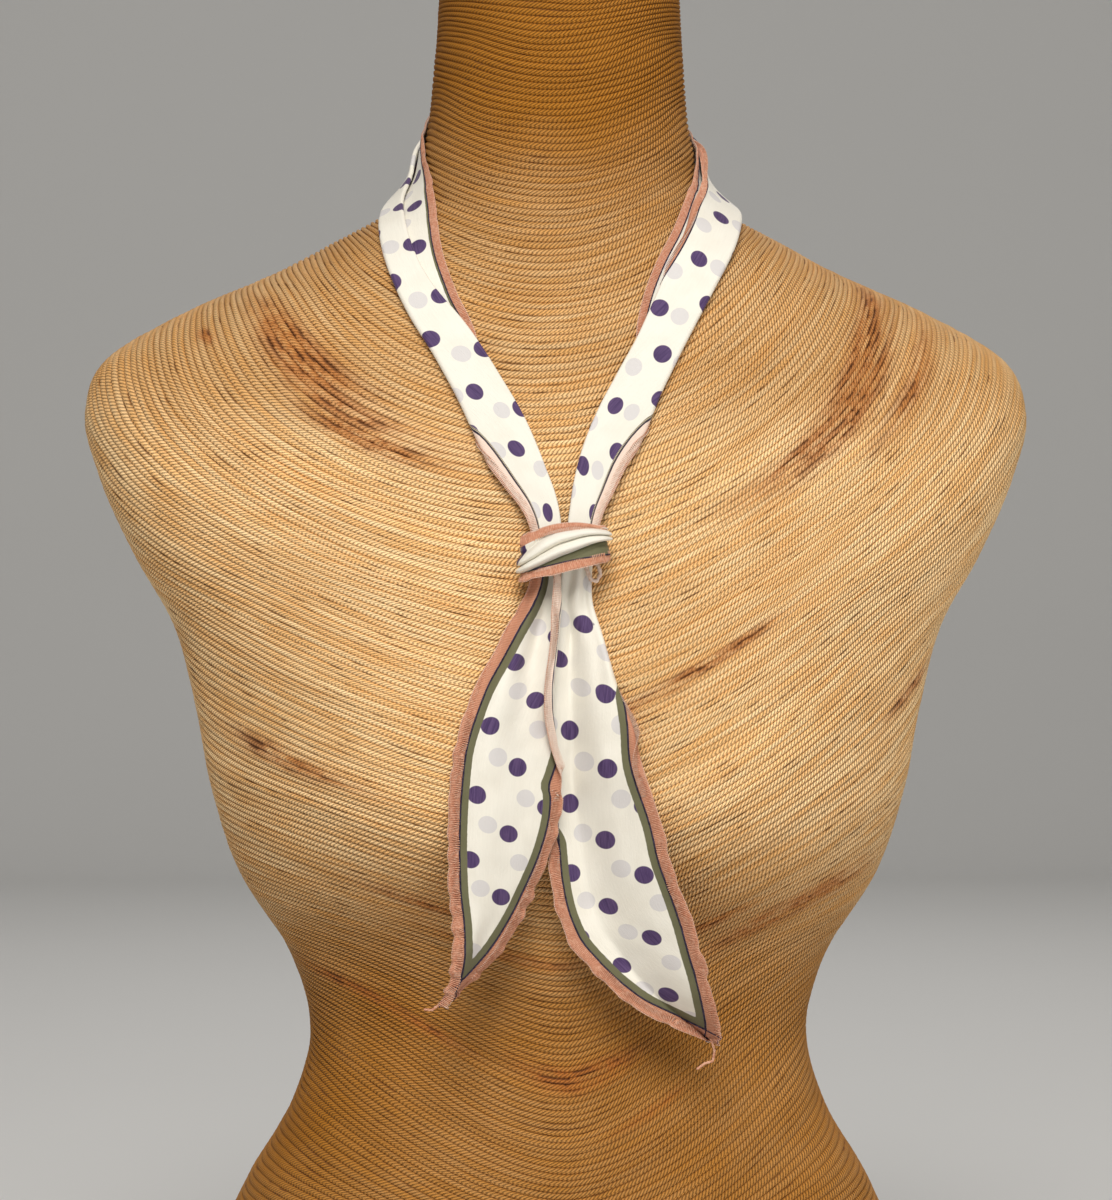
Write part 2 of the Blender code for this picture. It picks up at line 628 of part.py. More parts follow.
def main():
    for old in list(bpy.data.objects):
        bpy.data.objects.remove(old, do_unlink=True)
    collection = bpy.data.collections.new("neck_scarf_on_dress_form")
    bpy.context.scene.collection.children.link(collection)
    twine = material("twine", (0.60, 0.36, 0.15), 0.85)
    crepe = material("crepe", (0.86, 0.82, 0.72), 0.75)
    rose = material("rose_edging", (0.72, 0.42, 0.33), 0.80)
    add_object("dress_form", form_mesh(RING_STEPS, RING_POINTS), twine, collection)
    skin = Skin(form_mesh(((0.0, FINE_STEP),), FINE_POINTS))

    for name, table, outer_side in (("left", LEFT_BAND, 1), ("right", RIGHT_BAND, -1)):
        frames = band_frames(skin, table, outer_side)
        panel = band_sheet(frames, "panel", BAND_POINTS)
        add_cloth(f"scarf_neck_{name}", panel, CLOTH_WALL, crepe, collection)
        for side in ("under", "inner"):
            edging = band_sheet(frames, side, EDGING_POINTS)
            add_cloth(f"edging_neck_{name}_{side}", edging, EDGING_WALL, rose, collection)

    edge, seam = KNOT_EDGING_SHARE, KNOT_SEAM_SHARE
    wrap = knot_sheet(edge + seam, 1 - edge - seam, KNOT_ROWS)
    add_cloth("scarf_knot", wrap, CLOTH_WALL, crepe, collection, True)
    for name, start, end in (("top", 0.0, edge), ("bottom", 1 - edge, 1.0)):
        wrap_edge = knot_sheet(start, end, KNOT_EDGING_ROWS)
        add_cloth(f"edging_knot_{name}", wrap_edge, EDGING_WALL, rose, collection, True)

    left = (LEFT_TAIL, LEFT_FOLDS, LEFT_PLEATS, LEFT_PLEAT_PHASE, LEFT_START_Y, LEFT_FORWARD)
    right = (RIGHT_TAIL, RIGHT_FOLDS, RIGHT_PLEATS, RIGHT_PLEAT_PHASE, RIGHT_START_Y, RIGHT_FORWARD)
    for name, settings in (("left", left), ("right", right)):
        panel, first, last = tail_pieces(tail_frames(skin, *settings))
        add_cloth(f"scarf_tail_{name}", panel, CLOTH_WALL, crepe, collection)
        add_cloth(f"edging_tail_{name}_outer", first, EDGING_WALL, rose, collection)
        add_cloth(f"edging_tail_{name}_inner", last, EDGING_WALL, rose, collection)


main()
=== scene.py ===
import json
import math

import bpy
import numpy as np
from bpy.props import FloatProperty, FloatVectorProperty, PointerProperty
from bpy.types import Operator, Panel, PropertyGroup
from mathutils import Matrix, Vector
from mathutils.bvhtree import BVHTree
from mathutils.interpolate import poly_3d_calc

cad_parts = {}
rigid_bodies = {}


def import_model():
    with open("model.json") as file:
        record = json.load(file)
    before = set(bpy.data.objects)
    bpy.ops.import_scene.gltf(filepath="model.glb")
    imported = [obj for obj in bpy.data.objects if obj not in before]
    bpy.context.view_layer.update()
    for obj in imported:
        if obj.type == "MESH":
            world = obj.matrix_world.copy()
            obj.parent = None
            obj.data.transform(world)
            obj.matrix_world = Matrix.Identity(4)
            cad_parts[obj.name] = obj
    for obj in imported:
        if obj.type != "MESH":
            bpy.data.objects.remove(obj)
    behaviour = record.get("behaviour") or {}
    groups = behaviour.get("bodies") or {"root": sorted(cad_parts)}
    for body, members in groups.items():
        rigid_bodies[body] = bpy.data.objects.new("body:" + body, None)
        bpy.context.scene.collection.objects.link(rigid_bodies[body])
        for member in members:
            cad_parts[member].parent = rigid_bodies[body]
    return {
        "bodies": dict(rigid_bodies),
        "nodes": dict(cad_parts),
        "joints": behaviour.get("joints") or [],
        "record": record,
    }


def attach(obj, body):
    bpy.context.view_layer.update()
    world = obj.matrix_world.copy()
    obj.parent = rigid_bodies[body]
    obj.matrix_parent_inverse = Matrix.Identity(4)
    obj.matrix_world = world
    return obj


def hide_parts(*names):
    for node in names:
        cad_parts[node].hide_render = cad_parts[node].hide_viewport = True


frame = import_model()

bl_info = {
    "name": "Neck scarf on a dress form",
    "version": (1, 0, 0),
    "blender": (4, 5, 0),
    "location": "3D View > Sidebar > Scarf",
    "description": "Dresses a neck scarf and its twine-wound dress form: cloth, stitching, twine",
    "category": "Object",
}

# Metres, +Z up, +X to the viewer's right, the wearer's front towards -Y.

# Dress form: level sections. front and back are the y of a section's two faces, and squareness is
# the exponent of its superellipse, 2 for an ellipse.
FORM_COLUMNS = ("z", "half_width", "front", "back", "squareness")
FORM_SECTIONS = (
    (0.650, 0.0515, -0.064, 0.038, 2.00),
    (0.607, 0.0540, -0.062, 0.046, 2.00),
    (0.567, 0.0590, -0.060, 0.060, 2.05),
    (0.548, 0.0650, -0.060, 0.068, 2.10),
    (0.538, 0.0760, -0.062, 0.076, 2.15),
    (0.526, 0.0980, -0.066, 0.084, 2.20),
    (0.513, 0.1225, -0.070, 0.090, 2.25),
    (0.495, 0.1630, -0.076, 0.096, 2.30),
    (0.475, 0.1970, -0.082, 0.101, 2.35),
    (0.452, 0.2070, -0.088, 0.104, 2.40),
    (0.424, 0.2010, -0.095, 0.106, 2.40),
    (0.390, 0.1860, -0.101, 0.106, 2.35),
    (0.358, 0.1680, -0.103, 0.103, 2.30),
    (0.325, 0.1590, -0.102, 0.099, 2.25),
    (0.285, 0.1510, -0.098, 0.092, 2.20),
    (0.250, 0.1390, -0.093, 0.085, 2.20),
    (0.215, 0.1170, -0.086, 0.078, 2.20),
    (0.180, 0.1085, -0.080, 0.074, 2.20),
    (0.150, 0.1165, -0.083, 0.083, 2.20),
    (0.116, 0.1360, -0.090, 0.098, 2.20),
    (0.080, 0.1520, -0.096, 0.112, 2.25),
    (0.040, 0.1630, -0.100, 0.122, 2.30),
    (0.000, 0.1660, -0.101, 0.124, 2.30),
)
NECK_TOP = FORM_SECTIONS[0][0]
BUST_X, BUST_Z = 0.076, 0.290
BUST_FULLNESS = 0.036
BUST_REACH_X, BUST_REACH_UP, BUST_REACH_DOWN = 0.088, 0.125, 0.066
BUST_ROUNDNESS, BUST_SIDE_FADE = 1.5, 0.7
SKIN_RINGS, SKIN_POINTS = 0.005, 144
EDGE_ROUND = 0.004

# Twine. TURN_PROFILE is the height of a turn's grid rows, as a share of the relief.
ROWS_PER_TURN = 3
TURN_PROFILE = (0.0, 1.0, 1.0)
TWINE_COLUMNS, TWINE_RINGS = 160, 0.002
# How far a row wanders off its place, how uneven its crest is, and how deep it sits in the smooth
# form, the last two as shares of the relief.
TWINE_DRIFT, CREST_UNEVENNESS, TWINE_SUNK = 0.0010, 0.18, 0.70
# Over how many rows the drift sets in at the cap, and over how many columns it closes on itself.
DRIFT_ROWS, DRIFT_COLUMNS = 12, 8
# The rows hang in arcs from the shoulders. By height z: lean is how much lower they run at the front
# than at the back, tilt how much higher they run at +X, and spread how much they rise to both sides.
WINDING = (
    (0.65, 0.00, 0.00, 0.00),
    (0.61, 0.00, 0.06, 0.36),
    (0.58, 0.01, 0.08, 0.40),
    (0.52, 0.05, 0.11, 0.35),
    (0.47, 0.10, 0.13, 0.25),
    (0.42, 0.14, 0.15, 0.11),
    (0.36, 0.15, 0.16, -0.06),
    (0.30, 0.13, 0.15, -0.19),
    (0.24, 0.10, 0.12, -0.29),
    (0.18, 0.06, 0.08, -0.36),
    (0.12, 0.03, 0.04, -0.42),
    (0.00, 0.00, 0.00, -0.45),
)
TWINE_SPLIT = 0.330
# Stains of the twine: x and z of the middle, the face of the form (-1 front, 1 back), how far it
# reaches along and across the rows, and its strength.
STAINS = (
    (-0.112, 0.472, -1, 0.030, 0.007, 0.90),
    (-0.102, 0.452, -1, 0.045, 0.005, 0.60),
    (-0.082, 0.436, -1, 0.028, 0.004, 0.70),
    (-0.153, 0.482, -1, 0.004, 0.003, 0.90),
    (0.128, 0.478, -1, 0.030, 0.009, 0.95),
    (0.118, 0.450, -1, 0.035, 0.008, 0.80),
    (0.098, 0.432, -1, 0.030, 0.005, 0.60),
    (0.150, 0.460, -1, 0.030, 0.006, 0.50),
    (0.060, 0.345, -1, 0.028, 0.003, 0.80),
    (0.030, 0.328, -1, 0.020, 0.003, 0.55),
    (-0.122, 0.304, -1, 0.030, 0.004, 0.75),
    (-0.100, 0.296, -1, 0.020, 0.003, 0.50),
    (0.098, 0.240, -1, 0.035, 0.005, 0.80),
    (0.060, 0.232, -1, 0.020, 0.003, 0.50),
    (-0.020, 0.219, -1, 0.030, 0.003, 0.50),
    (0.008, 0.169, -1, 0.020, 0.005, 1.00),
    (0.036, 0.154, -1, 0.014, 0.002, 0.70),
    (-0.090, 0.206, -1, 0.030, 0.003, 0.60),
    (-0.060, 0.190, -1, 0.020, 0.003, 0.50),
    (0.150, 0.330, -1, 0.025, 0.003, 0.60),
    (-0.060, 0.245, -1, 0.025, 0.003, 0.45),
    (-0.110, 0.440, 1, 0.040, 0.006, 0.80),
    (0.070, 0.400, 1, 0.030, 0.005, 0.70),
    (0.120, 0.300, 1, 0.035, 0.004, 0.70),
    (-0.040, 0.250, 1, 0.028, 0.004, 0.60),
    (0.030, 0.130, 1, 0.030, 0.004, 0.70),
    (-0.090, 0.090, -1, 0.030, 0.004, 0.60),
    (0.080, 0.050, -1, 0.030, 0.004, 0.60),
)

# The scarf's cut: a strip with an overlocked edge, a needle line and an olive band along each side.
# The layers are the heights above the skin of the folded band's plies.
SCARF_WIDTH = 0.052
EDGING_WIDTH = 0.0035
UNDER_LAYER, MIDDLE_LAYER, FACE_LAYER = 0.0015, 0.0030, 0.0045
OUTER_RADIUS = (FACE_LAYER - UNDER_LAYER) / 2
INNER_RADIUS = (FACE_LAYER - MIDDLE_LAYER) / 2
OUTER_ARC, INNER_ARC = math.pi * OUTER_RADIUS, math.pi * INNER_RADIUS

# The band from the nape to the knot: the cloth tucked under at its outer side, the width of its
# face, the gathering at the knot and the height above the skin.
BAND_COLUMNS = ("x", "y", "z", "tuck", "window", "squeeze", "lift")
LEFT_BAND = (
    (-0.0002, 0.0530, 0.590, 0.0240, 0.0140, 1.00, 0.0),
    (-0.0300, 0.0470, 0.584, 0.0240, 0.0140, 1.00, 0.0),
    (-0.0520, 0.0280, 0.572, 0.0245, 0.0135, 1.00, 0.0),
    (-0.0630, 0.0040, 0.556, 0.0250, 0.0130, 1.00, 0.0),
    (-0.0690, -0.0220, 0.540, 0.0250, 0.0130, 1.00, 0.0),
    (-0.0690, -0.0460, 0.525, 0.0240, 0.0140, 1.00, 0.0),
    (-0.0652, -0.0630, 0.508, 0.0220, 0.0150, 1.00, 0.0),
    (-0.0580, -0.0730, 0.492, 0.0205, 0.0158, 1.00, 0.0),
    (-0.0475, -0.0800, 0.475, 0.0180, 0.0165, 1.00, 0.0),
    (-0.0375, -0.0860, 0.457, 0.0110, 0.0200, 0.86, 0.0),
    (-0.0285, -0.0910, 0.439, 0.0010, 0.0246, 0.77, 0.0),
    (-0.0205, -0.0950, 0.421, -0.0047, 0.0250, 0.72, 0.0),
    (-0.0140, -0.0980, 0.409, -0.0047, 0.0250, 0.56, 0.0015),
    (-0.0110, -0.1005, 0.398, -0.0047, 0.0250, 0.46, 0.0048),
    (-0.0104, -0.1010, 0.390, -0.0047, 0.0250, 0.44, 0.0058),
)
RIGHT_BAND = (
    (0.0002, 0.0530, 0.590, 0.0240, 0.0140, 1.00, 0.0),
    (0.0300, 0.0470, 0.584, 0.0240, 0.0145, 1.00, 0.0),
    (0.0520, 0.0280, 0.572, 0.0245, 0.0170, 1.00, 0.0),
    (0.0620, 0.0040, 0.557, 0.0250, 0.0200, 1.00, 0.0),
    (0.0660, -0.0200, 0.543, 0.0253, 0.0215, 1.00, 0.0),
    (0.0630, -0.0420, 0.530, 0.0253, 0.0210, 1.00, 0.0),
    (0.0585, -0.0580, 0.517, 0.0253, 0.0200, 1.00, 0.0),
    (0.0515, -0.0690, 0.503, 0.0250, 0.0190, 1.00, 0.0),
    (0.0440, -0.0760, 0.488, 0.0225, 0.0176, 1.00, 0.0),
    (0.0365, -0.0810, 0.473, 0.0170, 0.0168, 1.00, 0.0),
    (0.0285, -0.0860, 0.458, 0.0090, 0.0206, 0.86, 0.0),
    (0.0214, -0.0900, 0.443, 0.0000, 0.0248, 0.78, 0.0),
    (0.0148, -0.0935, 0.428, -0.0047, 0.0252, 0.74, 0.0),
    (0.0094, -0.0965, 0.414, -0.0047, 0.0250, 0.62, 0.0010),
    (0.0065, -0.0990, 0.405, -0.0047, 0.0250, 0.50, 0.0028),
    (0.0050, -0.1005, 0.398, -0.0047, 0.0250, 0.46, 0.0048),
    (0.0044, -0.1010, 0.390, -0.0047, 0.0250, 0.44, 0.0058),
)
BAND_ROWS, BAND_POINTS = 230, 64
# How much closer the points lie at a fold and at an edge, and the rows towards the knot.
FOLD_DENSITY, EDGE_DENSITY, ROW_CROWDING = 4.0, 2.0, 1.15
SKIN_STEP = 0.0015
# Soft creases: their height all along and where the band gathers, which starts at GATHER_START of
# its length, the small pleats there, and the frill of the edges.
BAND_CREASE, GATHER_CREASE, CREASE_PLACES = 0.00022, 0.0004, 80
GATHER_START, GATHER_PLEAT, GATHER_PLEAT_WIDTH = 0.62, 0.00040, 0.0021
BAND_FRILL, BAND_FRILL_REACH = 0.00055, 0.005

# The knot's wrap: a superellipse in plan, whose top and bottom slope and whose folds bulge.
KNOT_X, KNOT_Y, KNOT_Z = -0.0033, -0.1120, 0.3890
KNOT_LEAN = 0.17
KNOT_HALF_WIDTH, KNOT_HALF_DEPTH, KNOT_SQUARENESS = 0.0170, 0.0078, 2.5
KNOT_TOP, KNOT_TOP_TILT, KNOT_TOP_ARCH = 0.0113, 0.10, 12.0
KNOT_BOTTOM, KNOT_BOTTOM_TILT = -0.0080, 0.24
KNOT_POINTS, KNOT_ROWS = 168, 60
KNOT_CUT = (0.0215, 0.085)
# The share of the wrap that its wavy lips take, how far they wave, and the ripple of its folds.
LIP_SHARE, TOP_LIP, BOTTOM_LIP, KNOT_RIPPLE = 0.12, 0.0005, 0.0004, 0.00022
# The share of the wrap that its rose top edge takes, and how much that changes round the wrap.
ROSE_LIP, ROSE_LIP_SWING = 0.12, 0.11
KNOT_FOLD_COLUMNS = ("share", "bulge")
KNOT_FOLDS = (
    (0.00, 0.0008),
    (0.08, 0.0010),
    (0.13, 0.0000),
    (0.19, 0.0022),
    (0.27, 0.0036),
    (0.34, 0.0030),
    (0.39, 0.0004),
    (0.45, 0.0026),
    (0.53, 0.0042),
    (0.60, 0.0032),
    (0.65, 0.0004),
    (0.72, 0.0008),
    (0.80, 0.0006),
    (0.84, 0.0010),
    (0.92, 0.0017),
    (1.00, 0.0021),
)
KNOT_FOLD_SLANT = 0.30

# The two hanging ends. left and right are the x of the cloth's two sides as seen from the front.
TAIL_COLUMNS = ("z", "left", "right")
LEFT_TAIL = (
    (0.3850, -0.0168, -0.0062),
    (0.3770, -0.0172, -0.0056),
    (0.3690, -0.0202, -0.0054),
    (0.3580, -0.0264, -0.0062),
    (0.3470, -0.0325, -0.0074),
    (0.3360, -0.0387, -0.0088),
    (0.3230, -0.0440, -0.0090),
    (0.3090, -0.0482, -0.0070),
    (0.2960, -0.0498, -0.0054),
    (0.2830, -0.0507, -0.0050),
    (0.2660, -0.0510, -0.0087),
    (0.2490, -0.0504, -0.0157),
    (0.2350, -0.0490, -0.0227),
    (0.2225, -0.0490, -0.0309),
    (0.2126, -0.0510, -0.0400),
    (0.2030, -0.0548, -0.0510),
)
RIGHT_TAIL = (
    (0.3850, -0.0036, 0.0080),
    (0.3770, -0.0044, 0.0074),
    (0.3680, -0.0062, 0.0078),
    (0.3560, -0.0070, 0.0113),
    (0.3460, -0.0079, 0.0140),
    (0.3320, -0.0095, 0.0180),
    (0.3160, -0.0103, 0.0238),
    (0.3050, -0.0107, 0.0263),
    (0.2940, -0.0107, 0.0300),
    (0.2785, -0.0103, 0.0354),
    (0.2620, -0.0091, 0.0395),
    (0.2520, -0.0080, 0.0432),
    (0.2357, -0.0040, 0.0489),
    (0.2254, 0.0010, 0.0518),
    (0.2160, 0.0090, 0.0547),
    (0.2065, 0.0189, 0.0572),
    (0.1990, 0.0292, 0.0590),
    (0.1925, 0.0423, 0.0602),
    (0.1860, 0.0570, 0.0606),
)
TAIL_ROWS, TAIL_POINTS, TAIL_SMOOTHINGS = 190, 60, 70
THREAD_ROWS, THREAD_POINTS, THREAD_SMOOTHINGS = 60, 13, 6
# By the share of the length: the depth of the pleats, how far each side stands off the form, and how
# much of the right border is turned.
FOLD_COLUMNS = ("share", "pleat", "stand_left", "stand_right", "turned")
LEFT_FOLDS = (
    (0.00, 0.0022, 0.0010, 0.0060, 1.00),
    (0.12, 0.0034, 0.0010, 0.0072, 1.00),
    (0.24, 0.0034, 0.0010, 0.0074, 1.00),
    (0.33, 0.0024, 0.0010, 0.0070, 0.80),
    (0.42, 0.0016, 0.0010, 0.0066, 0.05),
    (0.62, 0.0010, 0.0012, 0.0056, 0.00),
    (0.80, 0.0006, 0.0020, 0.0038, 0.00),
    (1.00, 0.0000, 0.0030, 0.0030, 0.00),
)
RIGHT_FOLDS = (
    (0.00, 0.0012, 0.0012, 0.0056, 1.00),
    (0.12, 0.0018, 0.0012, 0.0068, 1.00),
    (0.22, 0.0018, 0.0012, 0.0068, 0.80),
    (0.31, 0.0016, 0.0012, 0.0060, 0.35),
    (0.40, 0.0012, 0.0012, 0.0046, 0.03),
    (0.62, 0.0008, 0.0014, 0.0034, 0.00),
    (0.80, 0.0006, 0.0022, 0.0030, 0.00),
    (1.00, 0.0000, 0.0030, 0.0030, 0.00),
)
ROLL_RADIUS, ROLL_FLAP, ROLL_TURN = 0.0011, 0.0066, math.radians(170)
ROLL_WIDTH = ROLL_FLAP + ROLL_TURN * ROLL_RADIUS
# Each end's count of pleats, their phase, its y in the knot, and 1 for a border turned to the front.
LEFT_HANG, RIGHT_HANG = (1.25, 0.10, -0.1130, 1), (1.40, 0.55, -0.1098, -1)
# How fast an end may fall back towards the form below a place that stands out.
FALL_BACK = 0.10
# How much closer the rows lie at the tip and the points at the sides.
TIP_CROWDING, SIDE_CROWDING = 0.13, 0.11
MOST_TURNED = 0.58
# Creases of the hanging ends, which fade out CREASE_INSET from an edge, and the edges' frill.
TAIL_CREASE, TAIL_FINE_CREASE, CREASE_INSET = 0.0010, 0.00042, 0.006
TAIL_FRILL, TAIL_SIDE_FRILL, TAIL_FRILL_REACH, FRILL_SET = 0.0009, 0.0008, 0.0045, 0.4
# The printed border and its edging are narrower round the neck, where they are pulled tight.
NECK_BORDER, TAIL_BORDER = 0.80, 1.12
# How many rows at the top of each hanging end have their left and right border under another ply.
# The border's print is pushed under the other ply there by COVERED_SHIFT.
COVERED_ROWS = {"left": (0, 0), "right": (78, 38)}
COVERED_SHIFT = 0.012
# Loose ends of the sewing thread at the two tips, as x and z from the tip, and the small loop that
# the edging makes below the knot, from the hanging end's side.
TIP_THREADS = {
    "left": ((0.0015, 0.0005), (-0.0020, -0.0002), (-0.0045, -0.0022), (-0.0080, -0.0019)),
    "right": (
        (-0.0005, 0.0015),
        (0.0009, -0.0035),
        (0.0002, -0.0078),
        (-0.0032, -0.0087),
        (-0.0066, -0.0112),
    ),
}
LOOP_ROW = 4
KNOT_LOOP = (
    (-0.0030, 0.0045),
    (-0.0008, -0.0022),
    (0.0018, -0.0034),
    (0.0036, -0.0002),
    (0.0026, 0.0035),
    (0.0006, 0.0055),
)
# How much of each band's face is left uncovered at its crease, so that the ply below shows.
CREASE_COLUMNS = ("z", "left", "right")
CREASES = (
    (0.560, 0.0000, 0.0000),
    (0.545, 0.0030, 0.0000),
    (0.520, 0.0042, 0.0000),
    (0.500, 0.0036, 0.0000),
    (0.484, 0.0010, 0.0000),
    (0.470, 0.0000, 0.0000),
    (0.380, 0.0000, 0.0000),
)

# Where the print lies on each piece. By the length along a neck band, or by the height on a hanging
# end: the place of the print's middle line across the cloth, and the length along that line. Then how
# far the rows of dots slope.
PRINTS = {
    "neck_left": (
        (0.000, 0.0390, -0.1955),
        (0.230, 0.0390, 0.0325),
        (0.262, 0.0325, 0.0645),
        (0.340, 0.0320, 0.1410),
    ),
    "neck_right": (
        (0.000, 0.0360, -0.2100),
        (0.150, 0.0385, -0.0575),
        (0.206, 0.0420, 0.0000),
        (0.257, 0.0390, 0.0515),
        (0.340, 0.0340, 0.1360),
    ),
    "tail_left": (
        (0.3960, -0.0110, -0.0294),
        (0.3698, -0.0167, 0.0000),
        (0.3435, -0.0237, 0.0294),
        (0.3180, -0.0344, 0.0588),
        (0.2896, -0.0398, 0.0882),
        (0.2632, -0.0423, 0.1176),
        (0.2373, -0.0456, 0.1470),
        (0.1900, -0.0500, 0.2000),
    ),
    "tail_right": (
        (0.3875, 0.0010, -0.0588),
        (0.3590, 0.0047, -0.0294),
        (0.3307, 0.0134, 0.0000),
        (0.2999, 0.0142, 0.0294),
        (0.2702, 0.0138, 0.0588),
        (0.2423, 0.0154, 0.0882),
        (0.2176, 0.0212, 0.1176),
        (0.1921, 0.0311, 0.1490),
        (0.1650, 0.0420, 0.1820),
    ),
}
PRINT_SLOPES = {"neck_left": 0.0, "neck_right": 0.25, "tail_left": -0.22, "tail_right": 0.0}


# Shared curves and tables


def smooth(columns, rows, name, at):
    """One column of a table at a height or place, by a smooth curve through its rows."""
    table = np.array(rows, float)
    if table[0, 0] > table[-1, 0]:
        table = table[::-1]
    return curve_value(table[:, 0], table[:, columns.index(name)], at)


def curve_value(keys, values, at):
    """A smooth curve through values at increasing keys, read at one place."""
    slopes = np.gradient(values, keys)
    i = int(np.clip(np.searchsorted(keys, at) - 1, 0, len(keys) - 2))
    gap = keys[i + 1] - keys[i]
    t = min(1.0, max(0.0, (at - keys[i]) / gap))
    return float(
        (2 * t**3 - 3 * t**2 + 1) * values[i]
        + (t**3 - 2 * t**2 + t) * gap * slopes[i]
        + (3 * t**2 - 2 * t**3) * values[i + 1]
        + (t**3 - t**2) * gap * slopes[i + 1]
    )


def ease(low, high, at):
    """0 below low, 1 above high, and a smooth step between."""
    t = np.clip((at - low) / (high - low), 0, 1)
    return t * t * (3 - 2 * t)


def wander(rng, shape, knots):
    """A smooth random field over a grid, from -1 to 1, with this many knots each way."""
    field = rng.uniform(-1, 1, knots)
    rows = ease_lines(np.linspace(0, knots[0] - 1, shape[0]), field)
    return ease_lines(np.linspace(0, knots[1] - 1, shape[1]), rows.T).T


def ease_lines(places, lines):
    """Lines of values read at fractional places, with a smooth step from each to the next."""
    start = np.minimum(places.astype(int), len(lines) - 2)
    share = ease(0, 1, places - start)[:, None]
    return lines[start] * (1 - share) + lines[start + 1] * share


def running(steps):
    """The sum of the steps up to each place, from 0."""
    return np.concatenate([[0], np.cumsum(steps)])


def length_along(path):
    """The length along a path up to each of its points."""
    return running(np.linalg.norm(np.diff(path, axis=0), axis=1))


# Dress form


def form_value(name, z):
    """One measure of the dress form's section at a height."""
    return smooth(FORM_COLUMNS, FORM_SECTIONS, name, z)


def bust(x, z):
    """How far the bust stands out in front of the rib cage."""
    reach = BUST_REACH_UP if z > BUST_Z else BUST_REACH_DOWN
    away = ((np.abs(x) - BUST_X) / BUST_REACH_X) ** 2 + ((z - BUST_Z) / reach) ** 2
    return BUST_FULLNESS * np.maximum(0.0, 1 - away) ** BUST_ROUNDNESS


def form_ring(z, points, inset=0.0, fullness=1.0):
    """One level section of the dress form, from +X round by the back."""
    width = form_value("half_width", z) - inset
    front, back = form_value("front", z) + inset, form_value("back", z) - inset
    power = 2 / form_value("squareness", z)
    middle, depth = (front + back) / 2, (back - front) / 2
    turn = 2 * math.pi * np.arange(points) / points
    c, s = np.cos(turn), np.sin(turn)
    x = width * np.copysign(np.abs(c) ** power, c)
    y = middle + depth * np.copysign(np.abs(s) ** power, s)
    y -= np.maximum(0.0, -s) ** BUST_SIDE_FADE * bust(x, z) * fullness
    return np.stack([x, y, np.full(points, z)], axis=1)


def form_rings(spacing, points, fullness=1.0):
    """Level rings from the neck's top to the base, evenly spaced along the side outline."""
    fine = np.linspace(NECK_TOP, 0.0, 500)
    widths = np.array([form_value("half_width", z) for z in fine])
    along = running(np.hypot(np.diff(fine), np.diff(widths)))
    places = np.linspace(0, along[-1], round(along[-1] / spacing) + 1)
    heights = [z for z in np.interp(places, along, fine) if EDGE_ROUND < z < NECK_TOP - EDGE_ROUND]
    levels = [(NECK_TOP, EDGE_ROUND), (NECK_TOP - EDGE_ROUND, 0.0)]
    levels += [(z, 0.0) for z in heights] + [(EDGE_ROUND, 0.0), (0.0, EDGE_ROUND)]
    return np.array([form_ring(z, points, inset, fullness) for z, inset in levels])


class Skin:
    """The dress form's smooth surface, for laying cloth on it."""

    def __init__(self):
        rings = form_rings(SKIN_RINGS, SKIN_POINTS)
        self.places = [Vector(p) for p in rings.reshape(-1, 3)]
        self.faces = []
        for i in range(len(rings) - 1):
            for k in range(SKIN_POINTS):
                n = (k + 1) % SKIN_POINTS
                a, b = i * SKIN_POINTS + k, i * SKIN_POINTS + n
                c, d = b + SKIN_POINTS, a + SKIN_POINTS
                self.faces += [(a, c, b), (a, d, c)]
        normals = np.zeros((len(self.places), 3))
        corners = rings.reshape(-1, 3)[np.array(self.faces)]
        cross = np.cross(corners[:, 1] - corners[:, 0], corners[:, 2] - corners[:, 0])
        for j in range(3):
            np.add.at(normals, np.array(self.faces)[:, j], cross)
        away = rings.reshape(-1, 3) - rings.mean(axis=1).repeat(SKIN_POINTS, axis=0)
        if (normals * away).sum() < 0:
            normals = -normals
        self.normals = [Vector(n).normalized() for n in normals]
        self.tree = BVHTree.FromPolygons(self.places, self.faces)

    def nearest(self, point):
        """The skin's nearest point, and its smooth outward normal there."""
        place, _, face, _ = self.tree.find_nearest(point)
        corners = self.faces[face]
        weights = poly_3d_calc([self.places[i] for i in corners], place)
        normal = sum((self.normals[i] * w for i, w in zip(corners, weights)), Vector())
        return place, normal.normalized()

    def front(self, x, z):
        """The y of the skin seen from the front at x and z."""
        place, _, _, _ = self.tree.ray_cast(Vector((x, -1.0, z)), Vector((0, 1, 0)))
        return place.y


def winding_field():
    """The dress form's meridians from the middle of the neck's cap, and the row field along each."""
    made = []
    for fullness in (1.0, 0.0):
        rings = np.roll(form_rings(TWINE_RINGS, TWINE_COLUMNS, fullness), -TWINE_COLUMNS // 4, axis=1)
        middle = np.repeat(rings[0].mean(axis=0)[None, None, :], TWINE_COLUMNS, axis=1)
        made.append(np.concatenate([middle, rings]))
    lines, plain = made
    steps = np.linalg.norm(np.diff(plain, axis=0), axis=2)
    down = np.concatenate([np.zeros((1, TWINE_COLUMNS)), np.cumsum(steps, axis=0)])
    table = np.array(WINDING)[::-1]
    lean, tilt, spread = (np.interp(plain[:, :1, 2], table[:, 0], table[:, k]) for k in (1, 2, 3))
    width = np.abs(plain[..., 0]).max(axis=1, keepdims=True) + 1e-9
    down = down + lean * plain[..., 1] + tilt * plain[..., 0] + spread * plain[..., 0] ** 2 / width
    return lines, np.maximum.accumulate(down, axis=0) + 1e-7 * np.arange(len(down))[:, None]


